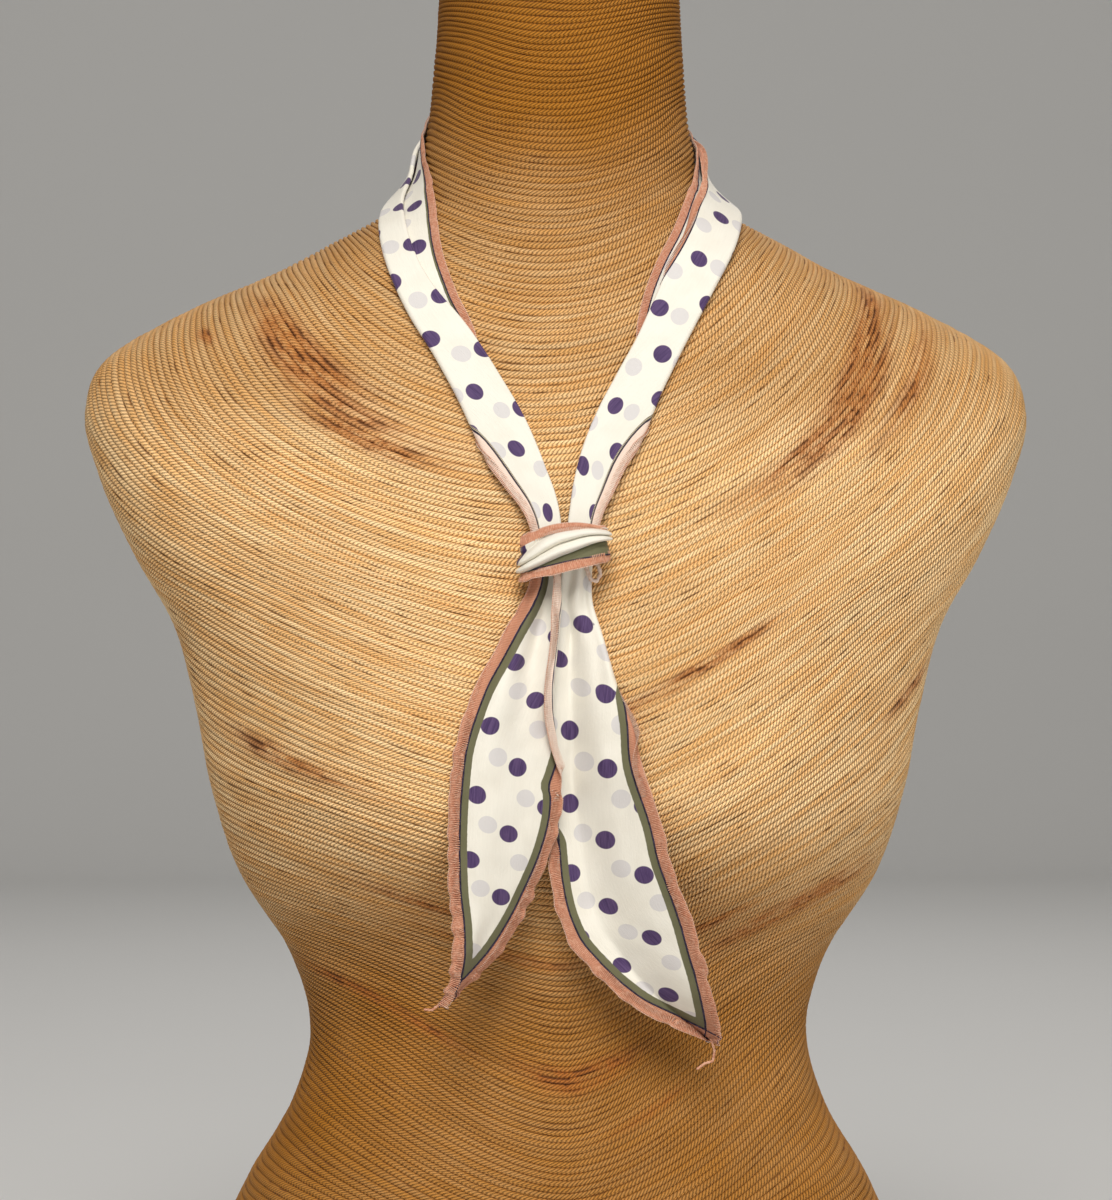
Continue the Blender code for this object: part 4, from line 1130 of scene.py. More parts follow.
def crepe_finish(scarf, side):
    """Printed crepe: side is face, or wrong for the paler side that shows where a border turns."""
    made = Finish(f"crepe_{side}", **CREPE)
    across, along = made.flat_place("print")
    flat_across, flat_along = made.flat_place("cloth")
    weave = made.threads(flat_across * WEAVE_ACROSS, flat_along * WEAVE_ALONG, detail=2.0)
    slub = made.threads(flat_across * SLUB_ACROSS, flat_along * SLUB_ALONG)
    cloud = made.noise(made.combined(flat_across, flat_along), 60.0)
    near_edge, opened, plain = (made.attribute(name) for name in ("edge", "opened", "plain"))
    unevenness = made.noise(made.combined(flat_along, near_edge, 2.0), 420.0, 1.0)
    edge = near_edge + (unevenness - 0.5) * 0.0003
    ground = made.mix(cloud.step(0.35, 0.75) * 0.5, scarf.cream, scarf.cream_shade)
    ground = made.shaded(ground, 1.0 + (slub - 0.5) * 0.10)
    dots = dot_mask(made, across, along, scarf)
    olive, rose, ladder = border_colours(made, scarf, flat_along, cloud, weave)
    pale = made.mix(ladder.step(0.45, 0.95) * 0.5, scarf.pale_pink, scarf.rose_light)
    pale = made.shaded(pale, 0.97 + weave * 0.06)
    width = scarf.edging_width
    if side == "face":
        ghosts = dot_mask(made, across, along, scarf, tuple(scarf.ghost_shift))
        ground = made.mix(ghosts * scarf.ghost_strength, ground, scarf.ghost_colour)
        dyed = made.mix(slub.step(0.25, 0.75), scarf.dot_colour, scarf.dot_light)
        ground = made.mix(dots, ground, dyed)
        pink_end = width + opened * scarf.opened_pink
        olive_end = pink_end + scarf.olive_width * (1.0 - plain) * (1.0 - opened * 0.35)
        olive = made.mix(ladder.step(0.4, 0.8) * opened * 0.75, olive, scarf.pale_pink)
        ground = made.mix(edge.below(olive_end, OLIVE_RIM), ground, olive)
        line = 0.00044 + opened * 0.00040
        line = abs(edge - pink_end - NEEDLE_INSET).step(line, line - 0.00012)
        ground = made.mix(line, ground, scarf.needle)
        ground = made.mix(edge.below(pink_end, SEAM_RIM), ground, pale)
        ground = made.mix(edge.below(width - opened * 0.0026, SEAM_RIM), ground, rose)
    else:
        ground = made.mix(dots * 0.55, ground, scarf.dot_light)
        pink = width + scarf.turned_pink
        line = abs(edge - pink - 0.0016).step(0.00030, 0.00018) * 0.7
        ground = made.mix(line, ground, scarf.rose)
        line = abs(edge - pink - NEEDLE_INSET).step(0.00036, 0.00022)
        ground = made.mix(line, ground, scarf.needle)
        ground = made.mix(edge.below(pink, SEAM_RIM), ground, pale)
    made.give(Base_Color=ground)
    made.bump(weave * 0.6 + slub * 0.4 + edge.below(width, SEAM_RIM) * ladder, CLOTH_RELIEF)
    return made.material


def knot_finish(scarf):
    """The print as it shows on the knot, whose bands follow the wrap's folds."""
    made = Finish("crepe_knot", **CREPE)
    fold, _ = made.flat_place("print")
    across, along = made.flat_place("cloth")
    share = made.attribute("share")
    weave = made.threads(across * WEAVE_ACROSS, along * KNOT_WEAVE_ALONG, detail=2.0)
    cloud = made.noise(made.combined(across, along), 90.0)
    olive, rose, ladder = border_colours(made, scarf, along, cloud, weave)
    ground = made.mix(cloud.step(0.35, 0.75) * 0.4, scarf.cream, scarf.cream_shade)
    ground = made.shaded(ground, 0.98 + weave * 0.05)
    dots = dot_mask(made, across, along, scarf, KNOT_DOT) * along.step(0.024, 0.030)
    ground = made.mix(dots, ground, scarf.dot_colour)
    under = fold.step(0.645, 0.655)
    ground = made.mix(under, ground, olive)
    ground = made.mix(abs(share - 0.815).step(0.018, 0.012) * under, ground, scarf.needle)
    ground = made.mix(share.step(0.835, 0.845), ground, rose)
    ground = made.mix(made.attribute("below_lip").step(0.010, -0.010), ground, rose)
    made.give(Base_Color=ground)
    made.bump(weave * 0.7 + ladder * share.step(0.83, 0.85), CLOTH_RELIEF)
    return made.material


def thread_finish(name, colour, light):
    """Sewing thread, a little uneven in its dye."""
    made = Finish(name, Roughness=0.7, Specular_IOR_Level=0.2)
    uneven = made.noise(made.place(), 900.0, 2.0)
    made.give(Base_Color=made.mix(uneven.step(0.3, 0.7), colour, light))
    made.bump(made.noise(made.place(), 5200.0, 1.0), 0.0001)
    return made.material


# Stitches


def placed(name, data):
    """A new object in the scene."""
    made = bpy.data.objects.new(name, data)
    bpy.context.scene.collection.objects.link(made)
    return made


class StitchTree:
    """A Geometry Nodes tree under construction, with named inputs."""

    def __init__(self, name, sizes):
        self.tree = bpy.data.node_groups.new(name, "GeometryNodeTree")
        face = self.tree.interface
        face.new_socket("Geometry", in_out="INPUT", socket_type="NodeSocketGeometry")
        for size in sizes:
            face.new_socket(size, in_out="INPUT", socket_type="NodeSocketFloat").subtype = "DISTANCE"
        face.new_socket("Thread", in_out="INPUT", socket_type="NodeSocketMaterial")
        face.new_socket("Geometry", in_out="OUTPUT", socket_type="NodeSocketGeometry")
        self.inputs = add_node(self.tree, "NodeGroupInput")

    def node(self, kind, settings=None, inputs=None):
        """Adds a node and gives its first output."""
        made = add_node(self.tree, kind, settings, inputs)
        return made.outputs[0] if made.outputs else None

    def size(self, name, times=1.0):
        """A named input, times a number."""
        inputs = {"Value": self.inputs.outputs[name], "Value_001": times}
        return self.node("ShaderNodeMath", {"operation": "MULTIPLY"}, inputs)

    def vector(self, x=0.0, y=0.0, z=0.0):
        """A vector of three numbers."""
        return self.node("ShaderNodeCombineXYZ", inputs={"X": x, "Y": y, "Z": z})

    def direction(self, name):
        """A direction that each point carries."""
        kind, settings = "GeometryNodeInputNamedAttribute", {"data_type": "FLOAT_VECTOR"}
        return add_node(self.tree, kind, settings, {"Name": name}).outputs["Attribute"]

    def finish(self, path, primary, secondary):
        """Lays the thread's path at each point, turned to its two directions."""
        inputs = {"Resolution": 5, "Radius": self.size("Thread radius")}
        ring = self.node("GeometryNodeCurvePrimitiveCircle", inputs=inputs)
        inputs = {"Curve": path, "Profile Curve": ring, "Fill Caps": True}
        thread = self.node("GeometryNodeCurveToMesh", inputs=inputs)
        settings = {"primary_axis": "X", "secondary_axis": "Z"}
        inputs = {"Primary Axis": self.direction(primary), "Secondary Axis": self.direction(secondary)}
        turned = self.node("FunctionNodeAxesToRotation", settings, inputs)
        inputs = {"Points": self.inputs.outputs["Geometry"], "Instance": thread, "Rotation": turned}
        laid = self.node("GeometryNodeInstanceOnPoints", inputs=inputs)
        real = self.node("GeometryNodeRealizeInstances", inputs={"Geometry": laid})
        inputs = {"Geometry": real, "Material": self.inputs.outputs["Thread"]}
        coloured = self.node("GeometryNodeSetMaterial", inputs=inputs)
        self.node("NodeGroupOutput", inputs={"Geometry": coloured})
        return self.tree


def overlock_tree():
    """Each stitch is a thread from its needle line over one side of the cloth to the edge's lip."""
    made = StitchTree("overlock_stitches", ("Thread radius", "Reach", "Lift", "Lip"))
    high, out = made.size("Lift", 1.25), made.size("Lip", -1.0)
    inputs = {
        "Resolution": 4,
        "Start": made.vector(made.size("Reach"), 0.0, made.size("Lift")),
        "Start Handle": made.vector(made.size("Reach", 0.4), 0.0, high),
        "End Handle": made.vector(out, 0.0, high),
        "End": made.vector(out),
    }
    path = made.node("GeometryNodeCurvePrimitiveBezierSegment", inputs=inputs)
    return made.finish(path, "inward", "off")


def needle_tree():
    """Each stitch is a short thread that lies along the line and dips into the cloth at its ends."""
    made = StitchTree("needle_stitches", ("Thread radius", "Stitch length", "Lift"))
    inputs = {
        "Resolution": 4,
        "Start": made.vector(made.size("Stitch length", -0.5)),
        "Middle": made.vector(z=made.size("Lift")),
        "End": made.vector(made.size("Stitch length", 0.5)),
    }
    return made.finish(made.node("GeometryNodeCurveQuadraticBezier", inputs=inputs), "along", "off")


def stitch_points(name, lines, pitch):
    """A mesh of points along edge lines, every pitch, that carry the directions of each stitch."""
    taken = []
    for line in lines:
        run = length_along(line[0])
        spots = np.arange(pitch / 2, run[-1], pitch)
        columns = np.concatenate(line, axis=1).T
        taken.append(np.stack([np.interp(spots, run, column) for column in columns], axis=1))
    taken = np.concatenate(taken)
    mesh = bpy.data.meshes.new(name)
    mesh.from_pydata(taken[:, :3].tolist(), [], [])
    for key, first in (("inward", 3), ("off", 6), ("along", 9)):
        layer = mesh.attributes.new(key, "FLOAT_VECTOR", "POINT")
        layer.data.foreach_set("vector", taken[:, first : first + 3].astype(np.float32).ravel())
    return mesh


def stitched(name, tree, lines, pitch, sizes, material):
    """Runs a stitch tree over edge lines and keeps its result as a plain mesh."""
    points = placed(name + "_points", stitch_points(name, lines, pitch))
    modifier = points.modifiers.new("stitches", "NODES")
    modifier.node_group = tree
    values = {**sizes, "Thread": material}
    for item in tree.interface.items_tree:
        if item.item_type == "SOCKET" and item.in_out == "INPUT" and item.name in values:
            modifier[item.identifier] = values[item.name]
    graph = bpy.context.evaluated_depsgraph_get()
    mesh = bpy.data.meshes.new_from_object(points.evaluated_get(graph))
    bpy.data.objects.remove(points, do_unlink=True)
    mesh.name = name
    return piece(name, mesh)


# Pieces


def piece(name, mesh):
    """A finished piece of the visual model, riding with the part."""
    made = placed(name, mesh)
    for polygon in mesh.polygons:
        polygon.use_smooth = True
    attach(made, "root")
    return made


def grid_mesh(name, points, layers, fields, flipped=False):
    """A mesh through rows of points, with its UV maps and its float attributes."""
    rows, columns = points.shape[:2]
    index = np.arange(rows * columns).reshape(rows, columns)
    corners = [index[:-1, :-1], index[1:, :-1], index[1:, 1:], index[:-1, 1:]]
    faces = np.stack([c.ravel() for c in (corners[::-1] if flipped else corners)], axis=1)
    mesh = bpy.data.meshes.new(name)
    mesh.from_pydata(points.reshape(-1, 3).tolist(), [], faces.tolist())
    for layer, values in layers.items():
        made = mesh.uv_layers.new(name=layer)
        if values.ndim == 3:
            values = values.reshape(-1, 2)[faces.ravel()]
        made.data.foreach_set("uv", values.astype(np.float32).ravel())
    for field, values in fields.items():
        made = mesh.attributes.new(field, "FLOAT", "POINT")
        made.data.foreach_set("value", values.astype(np.float32).ravel())
    mesh.update()
    return mesh


def printed(places, name):
    """The print's own place of each point of a piece."""
    table = np.array(PRINTS[name])
    table = table[np.argsort(table[:, 0])]
    across = places[..., 0] - np.interp(places[..., 1], table[:, 0], table[:, 1])
    along = np.interp(places[..., 1], table[:, 0], table[:, 2])
    return np.stack([across, along + PRINT_SLOPES[name] * across], axis=2)


def add_wall(made, thickness, back=1):
    """Gives a sheet its thickness; back is the material slot of its back, counted from the front's."""
    wall = made.modifiers.new("wall", "SOLIDIFY")
    wall.thickness, wall.offset = thickness, 0.0
    wall.material_offset, wall.material_offset_rim = back, 0


def weld_seam(made):
    """Closes the seam where a mesh comes round to itself."""
    made.modifiers.new("seam", "WELD").merge_threshold = 1e-6


def cloth_piece(name, points, layers, fields, materials, flipped, thickness):
    """A sheet of crepe with its wall; the materials are those of its front and its back."""
    mesh = grid_mesh(name, points, layers, fields, flipped)
    for material in materials:
        mesh.materials.append(material)
    made = piece(name, mesh)
    add_wall(made, thickness)
    return made


# How far the threads lie off the cloth and wrap past its edge, and the needle line's thread.
STITCH_CLEAR, STITCH_LIP, NEEDLE_CLEAR = 0.00004, 0.00035, 0.00005
NEEDLE_RADIUS, NEEDLE_SHARE, NEEDLE_LIFT = 0.00028, 0.90, 0.00025


def edge_threads(
    name, points, edges, flipped, scarf, threads,
    scale=1.0, hidden=(0, 0), opened=0.0, seen=(1, 1), needled=(0, 1),
):
    """The overlock stitches and the needle line along a sheet's two edges.

    hidden is how many rows of each edge have none, where another ply covers it, opened how far the
    border of the first edge is pulled out flat, seen is -1 for an edge whose seen side is the
    sheet's inner one, and needled the edges whose needle line shows.
    """
    sign = 1.0 if flipped else -1.0
    rose, pale, lines = [], [], []
    lift = scarf.cloth_wall / 2
    for side, start in enumerate(hidden):
        turn = (sign if side == 0 else -sign) * seen[side]
        line, inward, off, along = (field[start:] for field in edge_line(points, edges, side))
        rose.append((line, inward, off * turn, along))
        pale.append((line + along * scarf.stitch_pitch / 2, inward, -off * turn, along))
        inset = scarf.edging_width + NEEDLE_INSET
        inset = (inset + (scarf.opened_pink * opened if side == 0 else 0.0)) * scale
        line, inward, off, along = (field[start:] for field in edge_line(points, edges, side, inset))
        if side in needled:
            raised = line + off * turn * (lift + NEEDLE_CLEAR)
            lines.append((raised, inward, off * turn, along))
    sizes = {
        "Thread radius": scarf.thread_radius,
        "Reach": scarf.edging_width * scale,
        "Lift": lift + STITCH_CLEAR,
        "Lip": STITCH_LIP,
    }
    tree = threads["overlock_tree"]
    front = stitched(name + "_overlock", tree, rose, scarf.stitch_pitch, sizes, threads["rose"])
    back = stitched(name + "_overlock_back", tree, pale, scarf.stitch_pitch, sizes, threads["pale"])
    pitch, tree = scarf.needle_stitch, threads["needle_tree"]
    sizes = {"Thread radius": NEEDLE_RADIUS, "Stitch length": pitch * NEEDLE_SHARE, "Lift": NEEDLE_LIFT}
    needle = stitched(name + "_needle_line", tree, lines, pitch, sizes, threads["needle"])
    return front, back, needle


def loose_thread(name, start, offsets, radius, material):
    """A loose thread from a place on the cloth, through x and z offsets from it."""
    corners = [(start[0] + x, start[1], start[2] + z) for x, z in offsets]
    mesh = grid_mesh(name, twisted_thread(corners, radius, radius * 6), {}, {}, True)
    mesh.materials.append(material)
    return piece(name, mesh)


def turn_corners(points, along, spots, down):
    """The winding place at each face's corners: the length along its own row, and the distance down.

    spots is the row of points that each row of the mesh is taken from.
    """
    middle = np.clip((spots[1:] + 1) // ROWS_PER_TURN * ROWS_PER_TURN, 0, len(points) - 1)
    course = np.roll(points[middle], -1, axis=1) - np.roll(points[middle], 1, axis=1)
    course /= np.linalg.norm(course, axis=2, keepdims=True) + 1e-9
    corners = []
    upper, lower = slice(None, -1), slice(1, None)
    for rows, column in ((upper, 0), (lower, 0), (lower, 1), (upper, 1)):
        ahead = ((points[spots[rows]] - points[middle]) * course).sum(axis=2)
        place = along[middle][:, column:][:, :TWINE_COLUMNS] + np.roll(ahead, -column, axis=1)
        level = np.repeat(down[rows][:, None], TWINE_COLUMNS, axis=1)
        corners.append(np.stack([place, level], axis=2))
    return np.stack(corners, axis=2)


def sharpen_gaps(mesh, columns, start):
    """Marks the edges that run along the gaps between rows of twine, so that each row looks round."""
    ends = np.empty(len(mesh.edges) * 2, np.int32)
    mesh.edges.foreach_get("vertices", ends)
    rows = ends.reshape(-1, 2) // columns
    sharp = (rows[:, 0] == rows[:, 1]) & ((rows[:, 0] + start) % ROWS_PER_TURN == 0)
    layer = mesh.attributes.new("sharp_edge", "BOOLEAN", "EDGE")
    layer.data.foreach_set("value", sharp)


# Settings, which the panel lists


class FormSettings(PropertyGroup):
    """The twine's sizes and colours"""

    twine_pitch: FloatProperty(
        name="Twine pitch", description="Distance from one row of twine to the next",
        default=0.00275, unit="LENGTH",
    )
    twine_relief: FloatProperty(
        name="Twine relief", description="Height of a row above the gaps beside it",
        default=0.0008, unit="LENGTH",
    )
    ply_length: FloatProperty(
        name="Ply length", description="Length along the twine from one ply to the next",
        default=0.0019, unit="LENGTH",
    )
    ply_slant: FloatProperty(
        name="Ply slant", description="How many plies a row's twist runs on from one gap to the next",
        default=1.5,
    )
    ply_relief: FloatProperty(
        name="Ply relief", description="Height of a ply above the twist beside it",
        default=0.0007, unit="LENGTH",
    )
    twine_colour: FloatVectorProperty(
        name="Twine", description="Colour of the twine",
        default=(0.850, 0.480, 0.180), subtype="COLOR",
    )
    twine_light: FloatVectorProperty(
        name="Light twine", description="Colour of the paler stretches",
        default=(0.960, 0.680, 0.360), subtype="COLOR",
    )
    # Also the colour of the painted shade from under the bust down to the base.
    twine_warm_and_shade: FloatVectorProperty(
        name="Warm twine", description="Colour of the browner patches",
        default=(0.355, 0.138, 0.010), subtype="COLOR",
    )
    # Painted shade in the gaps between the rows.
    gap_shade: FloatVectorProperty(
        name="Gaps", description="Colour between the rows",
        default=(0.200, 0.070, 0.012), subtype="COLOR",
    )
    stain_colour: FloatVectorProperty(
        name="Stains", description="Colour of the old stains",
        default=(0.480, 0.150, 0.025), subtype="COLOR",
    )
    stain_dark: FloatVectorProperty(
        name="Dark stains", description="Colour of the stains' darkest threads",
        default=(0.110, 0.035, 0.010), subtype="COLOR",
    )


class ScarfSettings(PropertyGroup):
    """The scarf's sizes and colours"""

    cloth_wall: FloatProperty(
        name="Cloth", description="Thickness of the crepe",
        default=0.0005, unit="LENGTH",
    )
    edging_width: FloatProperty(
        name="Edging width", description="Width of the overlocked edge",
        default=0.0036, unit="LENGTH",
    )
    olive_width: FloatProperty(
        name="Olive band", description="Width of the printed olive band",
        default=0.0031, unit="LENGTH",
    )
    dot_size: FloatProperty(
        name="Dot size", description="Diameter of a printed dot",
        default=0.0078, unit="LENGTH",
    )
    dot_spacing: FloatProperty(
        name="Dot spacing", description="Half the repeat of the staggered dots",
        default=0.0147, unit="LENGTH",
    )
    ghost_shift: FloatVectorProperty(
        name="Ghost shift", description="How far the faint dots lie from the printed ones",
        size=2, default=(-0.0090, -0.0025), unit="LENGTH",
    )
    ghost_strength: FloatProperty(
        name="Faint dots", description="Strength of the dots that shine through",
        default=0.70, subtype="FACTOR",
    )
    turned_pink: FloatProperty(
        name="Turned pink", description="Width of the pale pink inside the edging of a turned border",
        default=0.0012, unit="LENGTH",
    )
    opened_pink: FloatProperty(
        name="Opened pink", description="Width of the pale pink inside the edging near the knot",
        default=0.0042, unit="LENGTH",
    )
    stitch_pitch: FloatProperty(
        name="Stitch pitch", description="Distance between overlock stitches",
        default=0.00072, unit="LENGTH",
    )
    needle_stitch: FloatProperty(
        name="Needle stitch", description="Length of a stitch of the needle line",
        default=0.0021, unit="LENGTH",
    )
    thread_radius: FloatProperty(
        name="Thread radius", description="Radius of the overlock thread",
        default=0.00020, unit="LENGTH",
    )
    loose_thread: FloatProperty(
        name="Loose thread", description="Radius of the loose thread at each tip",
        default=0.00055, unit="LENGTH",
    )
    loop_thread: FloatProperty(
        name="Loop", description="Radius of the edging's loop below the knot",
        default=0.00085, unit="LENGTH",
    )
    cream: FloatVectorProperty(
        name="Ground", description="Colour of the crepe",
        default=(0.820, 0.790, 0.700), subtype="COLOR",
    )
    cream_shade: FloatVectorProperty(
        name="Ground shade", description="Colour of its slightly darker places",
        default=(0.740, 0.700, 0.600), subtype="COLOR",
    )
    dot_colour: FloatVectorProperty(
        name="Dots", description="Colour of the dots",
        default=(0.047, 0.024, 0.090), subtype="COLOR",
    )
    dot_light: FloatVectorProperty(
        name="Light of the dots", description="Colour where the dye is thin",
        default=(0.110, 0.065, 0.165), subtype="COLOR",
    )
    ghost_colour: FloatVectorProperty(
        name="Faint dots' colour", description="Colour of the dots that shine through",
        default=(0.580, 0.560, 0.580), subtype="COLOR",
    )
    olive: FloatVectorProperty(
        name="Olive", description="Colour of the band",
        default=(0.105, 0.105, 0.052), subtype="COLOR",
    )
    olive_light: FloatVectorProperty(
        name="Light olive", description="Colour of its paler places",
        default=(0.170, 0.160, 0.085), subtype="COLOR",
    )
    rose: FloatVectorProperty(
        name="Rose", description="Colour of the overlock",
        default=(0.560, 0.240, 0.140), subtype="COLOR",
    )
    rose_light: FloatVectorProperty(
        name="Light rose", description="Colour of its worn threads",
        default=(0.720, 0.420, 0.290), subtype="COLOR",
    )
    pale_pink: FloatVectorProperty(
        name="Pale pink", description="Colour of the edging's wrong side",
        default=(0.820, 0.670, 0.570), subtype="COLOR",
    )
    pale_worn: FloatVectorProperty(
        name="Worn pale pink", description="Colour of the wrong side's worn threads",
        default=(0.700, 0.480, 0.370), subtype="COLOR",
    )
    needle: FloatVectorProperty(
        name="Needle thread", description="Colour of the needle line",
        default=(0.018, 0.012, 0.030), subtype="COLOR",
    )


class StageSettings(PropertyGroup):
    """The floor, the lights and the camera"""

    floor: FloatVectorProperty(
        name="Floor", description="Colour of the floor and backdrop",
        default=(0.78, 0.78, 0.77), subtype="COLOR",
    )
    key_power: FloatProperty(
        name="Key light", description="Power of the main light",
        default=72.0, unit="POWER",
    )
    fill_power: FloatProperty(
        name="Fill light", description="Power of the second light",
        default=5.0, unit="POWER",
    )
    back_power: FloatProperty(
        name="Back light", description="Power of the light behind the form",
        default=14.0, unit="POWER",
    )
    camera_distance: FloatProperty(
        name="Camera distance", description="Distance from the camera to the form's middle",
        default=1.7, unit="LENGTH",
    )
    camera_turn: FloatProperty(
        name="Camera turn", description="How far round the camera stands",
        default=math.radians(-3), subtype="ANGLE",
    )


SHARED = {}


def shared_skin():
    """The dress form's skin, made once."""
    if "skin" not in SHARED:
        SHARED["skin"] = Skin()
    return SHARED["skin"]


def shared_finishes(scarf):
    """The cloth's finishes and the stitch trees, made once."""
    if "face" not in SHARED:
        SHARED["face"], SHARED["wrong"] = crepe_finish(scarf, "face"), crepe_finish(scarf, "wrong")
        SHARED["rose"] = thread_finish("rose_thread", scarf.rose, scarf.rose_light)
        SHARED["pale"] = thread_finish("pale_thread", scarf.pale_pink, scarf.pale_worn)
        SHARED["needle"] = thread_finish("needle_thread", scarf.needle, (0.060, 0.045, 0.090))
        SHARED["overlock_tree"], SHARED["needle_tree"] = overlock_tree(), needle_tree()
    return SHARED


class DressForm(Operator):
    """Winds the dress form with rows of twine"""

    bl_idname = "scarf.dress_form"
    bl_label = "Dress form"

    def execute(self, context):
        form = context.scene.dress_form
        points, along, places, split = twine_grid(form.twine_pitch, form.twine_relief)
        stained = stain_field(points, along, places)
        material = twine_finish(form)
        # The row before the first and the one after the last are the middle of a closed end.
        for name, first, last in (
            ("twine_neck_and_chest", -1, split + 1),
            ("twine_waist_and_base", split, len(points) + 1),
        ):
            spots = np.clip(np.arange(first, last), 0, len(points) - 1)
            rows = points[spots]
            closed = 0 if first < 0 else -1
            rows[closed] = rows[closed].mean(axis=0)
            rows = np.concatenate([rows, rows[:, :1]], axis=1)
            flat = turn_corners(points, along, spots, places[spots])
            stain = np.concatenate([stained, stained[:, :1]], axis=1)[spots]
            mesh = grid_mesh(name, rows, {"winding": flat}, {"stain": stain})
            sharpen_gaps(mesh, TWINE_COLUMNS + 1, first + 1)
            mesh.materials.append(material)
            made = piece(name, mesh)
            weld_seam(made)
            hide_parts("dress_form")
        return {"FINISHED"}


# From which to which share of its length a band's border opens out, and from which to which height
# it loses its olive band.
OPENED_SHARE, PLAIN_HEIGHT = (0.66, 0.80), (0.455, 0.475)


class NeckBands(Operator):
    """Lays the two folded stretches of the scarf round the neck"""

    bl_idname = "scarf.neck_bands"
    bl_label = "Neck bands"

    def execute(self, context):
        scarf = context.scene.neck_scarf
        finishes = shared_finishes(scarf)
        rows = ease(*OPENED_SHARE, np.linspace(0, 1, BAND_ROWS))
        sides = (("left", LEFT_BAND, 1, 11, 0.45), ("right", RIGHT_BAND, -1, 23, 1.0))
        for side, table, outer_side, seed, plainness in sides:
            points, flat, edges = band(shared_skin(), table, outer_side, side, seed)
            name, flipped = f"cloth_neck_{side}", side == "right"
            layers = {"cloth": flat, "print": printed(flat, f"neck_{side}")}
            fields = {
                "edge": edges.min(axis=2) / NECK_BORDER,
                "opened": rows[:, None] * (edges[..., 0] < edges[..., 1]),
                "plain": ease(*PLAIN_HEIGHT, points[..., 2]) * plainness,
            }
            materials = (finishes["face"], finishes["face"])
            made = cloth_piece(name, points, layers, fields, materials, flipped, scarf.cloth_wall)
            overlock, back, needle = edge_threads(
                name, points, edges, flipped, scarf, finishes,
                NECK_BORDER, opened=rows, seen=(-1, 1),
            )
            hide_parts(f"scarf_neck_{side}")
            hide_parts(f"edging_neck_{side}_under", f"edging_neck_{side}_inner")
        return {"FINISHED"}


class Knot(Operator):
    """Wraps the scarf once round its two bands"""

    bl_idname = "scarf.knot"
    bl_label = "Knot"

    def execute(self, context):
        scarf = context.scene.neck_scarf
        finishes = shared_finishes(scarf)
        points, flat, edges, folds = knot_wrap(31)
        shares = np.repeat(np.linspace(0, 1, KNOT_ROWS)[:, None], KNOT_POINTS + 1, axis=1)
        lip = ROSE_LIP - ROSE_LIP_SWING * np.cos(flat[..., 1] / flat[..., 1].max() * 2 * math.pi)
        layers = {"cloth": flat, "print": np.stack([folds, flat[..., 1]], axis=2)}
        mesh = grid_mesh("cloth_knot", points, layers, {"share": shares, "below_lip": shares - lip})
        mesh.materials.append(knot_finish(scarf))
        made = piece("cloth_knot", mesh)
        weld_seam(made)
        add_wall(made, scarf.cloth_wall, back=0)
        laid = (points.transpose(1, 0, 2), edges.transpose(1, 0, 2))
        overlock, back, needle = edge_threads(
            "cloth_knot", *laid, False, scarf, finishes, needled=(1,)
        )
        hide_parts("scarf_knot")
        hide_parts("edging_knot_top", "edging_knot_bottom")
        return {"FINISHED"}


class HangingEnds(Operator):
    """Hangs the scarf's two ends below the knot"""

    bl_idname = "scarf.hanging_ends"
    bl_label = "Hanging ends"

    def execute(self, context):
        scarf = context.scene.neck_scarf
        finishes = shared_finishes(scarf)
        left = (LEFT_TAIL, LEFT_FOLDS, *LEFT_HANG)
        right = (RIGHT_TAIL, RIGHT_FOLDS, *RIGHT_HANG)
        for side, settings, seed in (("left", left, 41), ("right", right, 57)):
            points, flat, edges, places = tail(shared_skin(), settings, seed)
            name, covered = f"cloth_tail_{side}", COVERED_ROWS[side]
            overlock, back, needle = edge_threads(
                name, points, edges, False, scarf, finishes, TAIL_BORDER, covered
            )
            for column, rows in enumerate(covered):
                if rows:
                    under = ease(rows + 8, rows - 12, np.arange(len(edges)))[:, None]
                    edges[..., column] += COVERED_SHIFT * under
            none = np.zeros(points.shape[:2])
            layers = {"cloth": flat, "print": printed(places, f"tail_{side}")}
            fields = {"edge": edges.min(axis=2) / TAIL_BORDER, "opened": none, "plain": none}
            materials = (finishes["face"], finishes["wrong"])
            made = cloth_piece(name, points, layers, fields, materials, False, scarf.cloth_wall)
            tip = points[-1].mean(axis=0)
            thread = (tip, TIP_THREADS[side], scarf.loose_thread, finishes["rose"])
            loose = [loose_thread(f"thread_{side}_tip", *thread)]
            if side == "right":
                row = points[LOOP_ROW]
                start = (row[:, 0].max(), row[:, 1].min(), row[-1, 2])
                thread = (start, KNOT_LOOP, scarf.loop_thread, finishes["pale"])
                loose.append(loose_thread("edging_loop", *thread))
            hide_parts(f"scarf_tail_{side}")
            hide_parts(f"edging_tail_{side}_outer", f"edging_tail_{side}_inner")
        return {"FINISHED"}


# Stage: the floor and the backdrop that curves up from it.
FLOOR_FRONT, FLOOR_HALF_WIDTH, FLOOR_CLEAR = -3.5, 4.0, 0.0005
BACKDROP_START, BACKDROP_CURVE, BACKDROP_TOP = 3.4, 0.6, 3.5
FLOOR_SHADE = (0.70, 0.70, 0.69)
# Each lamp's name, place, size and colour; its power is a setting. All look at AIM_HEIGHT.
LAMPS = (
    ("key", (-0.20, -2.10, 2.25), 1.3, (1.0, 0.97, 0.93)),
    ("fill", (1.1, -1.3, 0.8), 1.2, (1.0, 0.97, 0.94)),
    ("back", (0.3, 2.4, 2.3), 1.0, (1.0, 0.98, 0.96)),
)
AIM_HEIGHT = 0.36
ROOM_COLOUR, ROOM_STRENGTH = (1.0, 0.97, 0.93, 1.0), 0.20
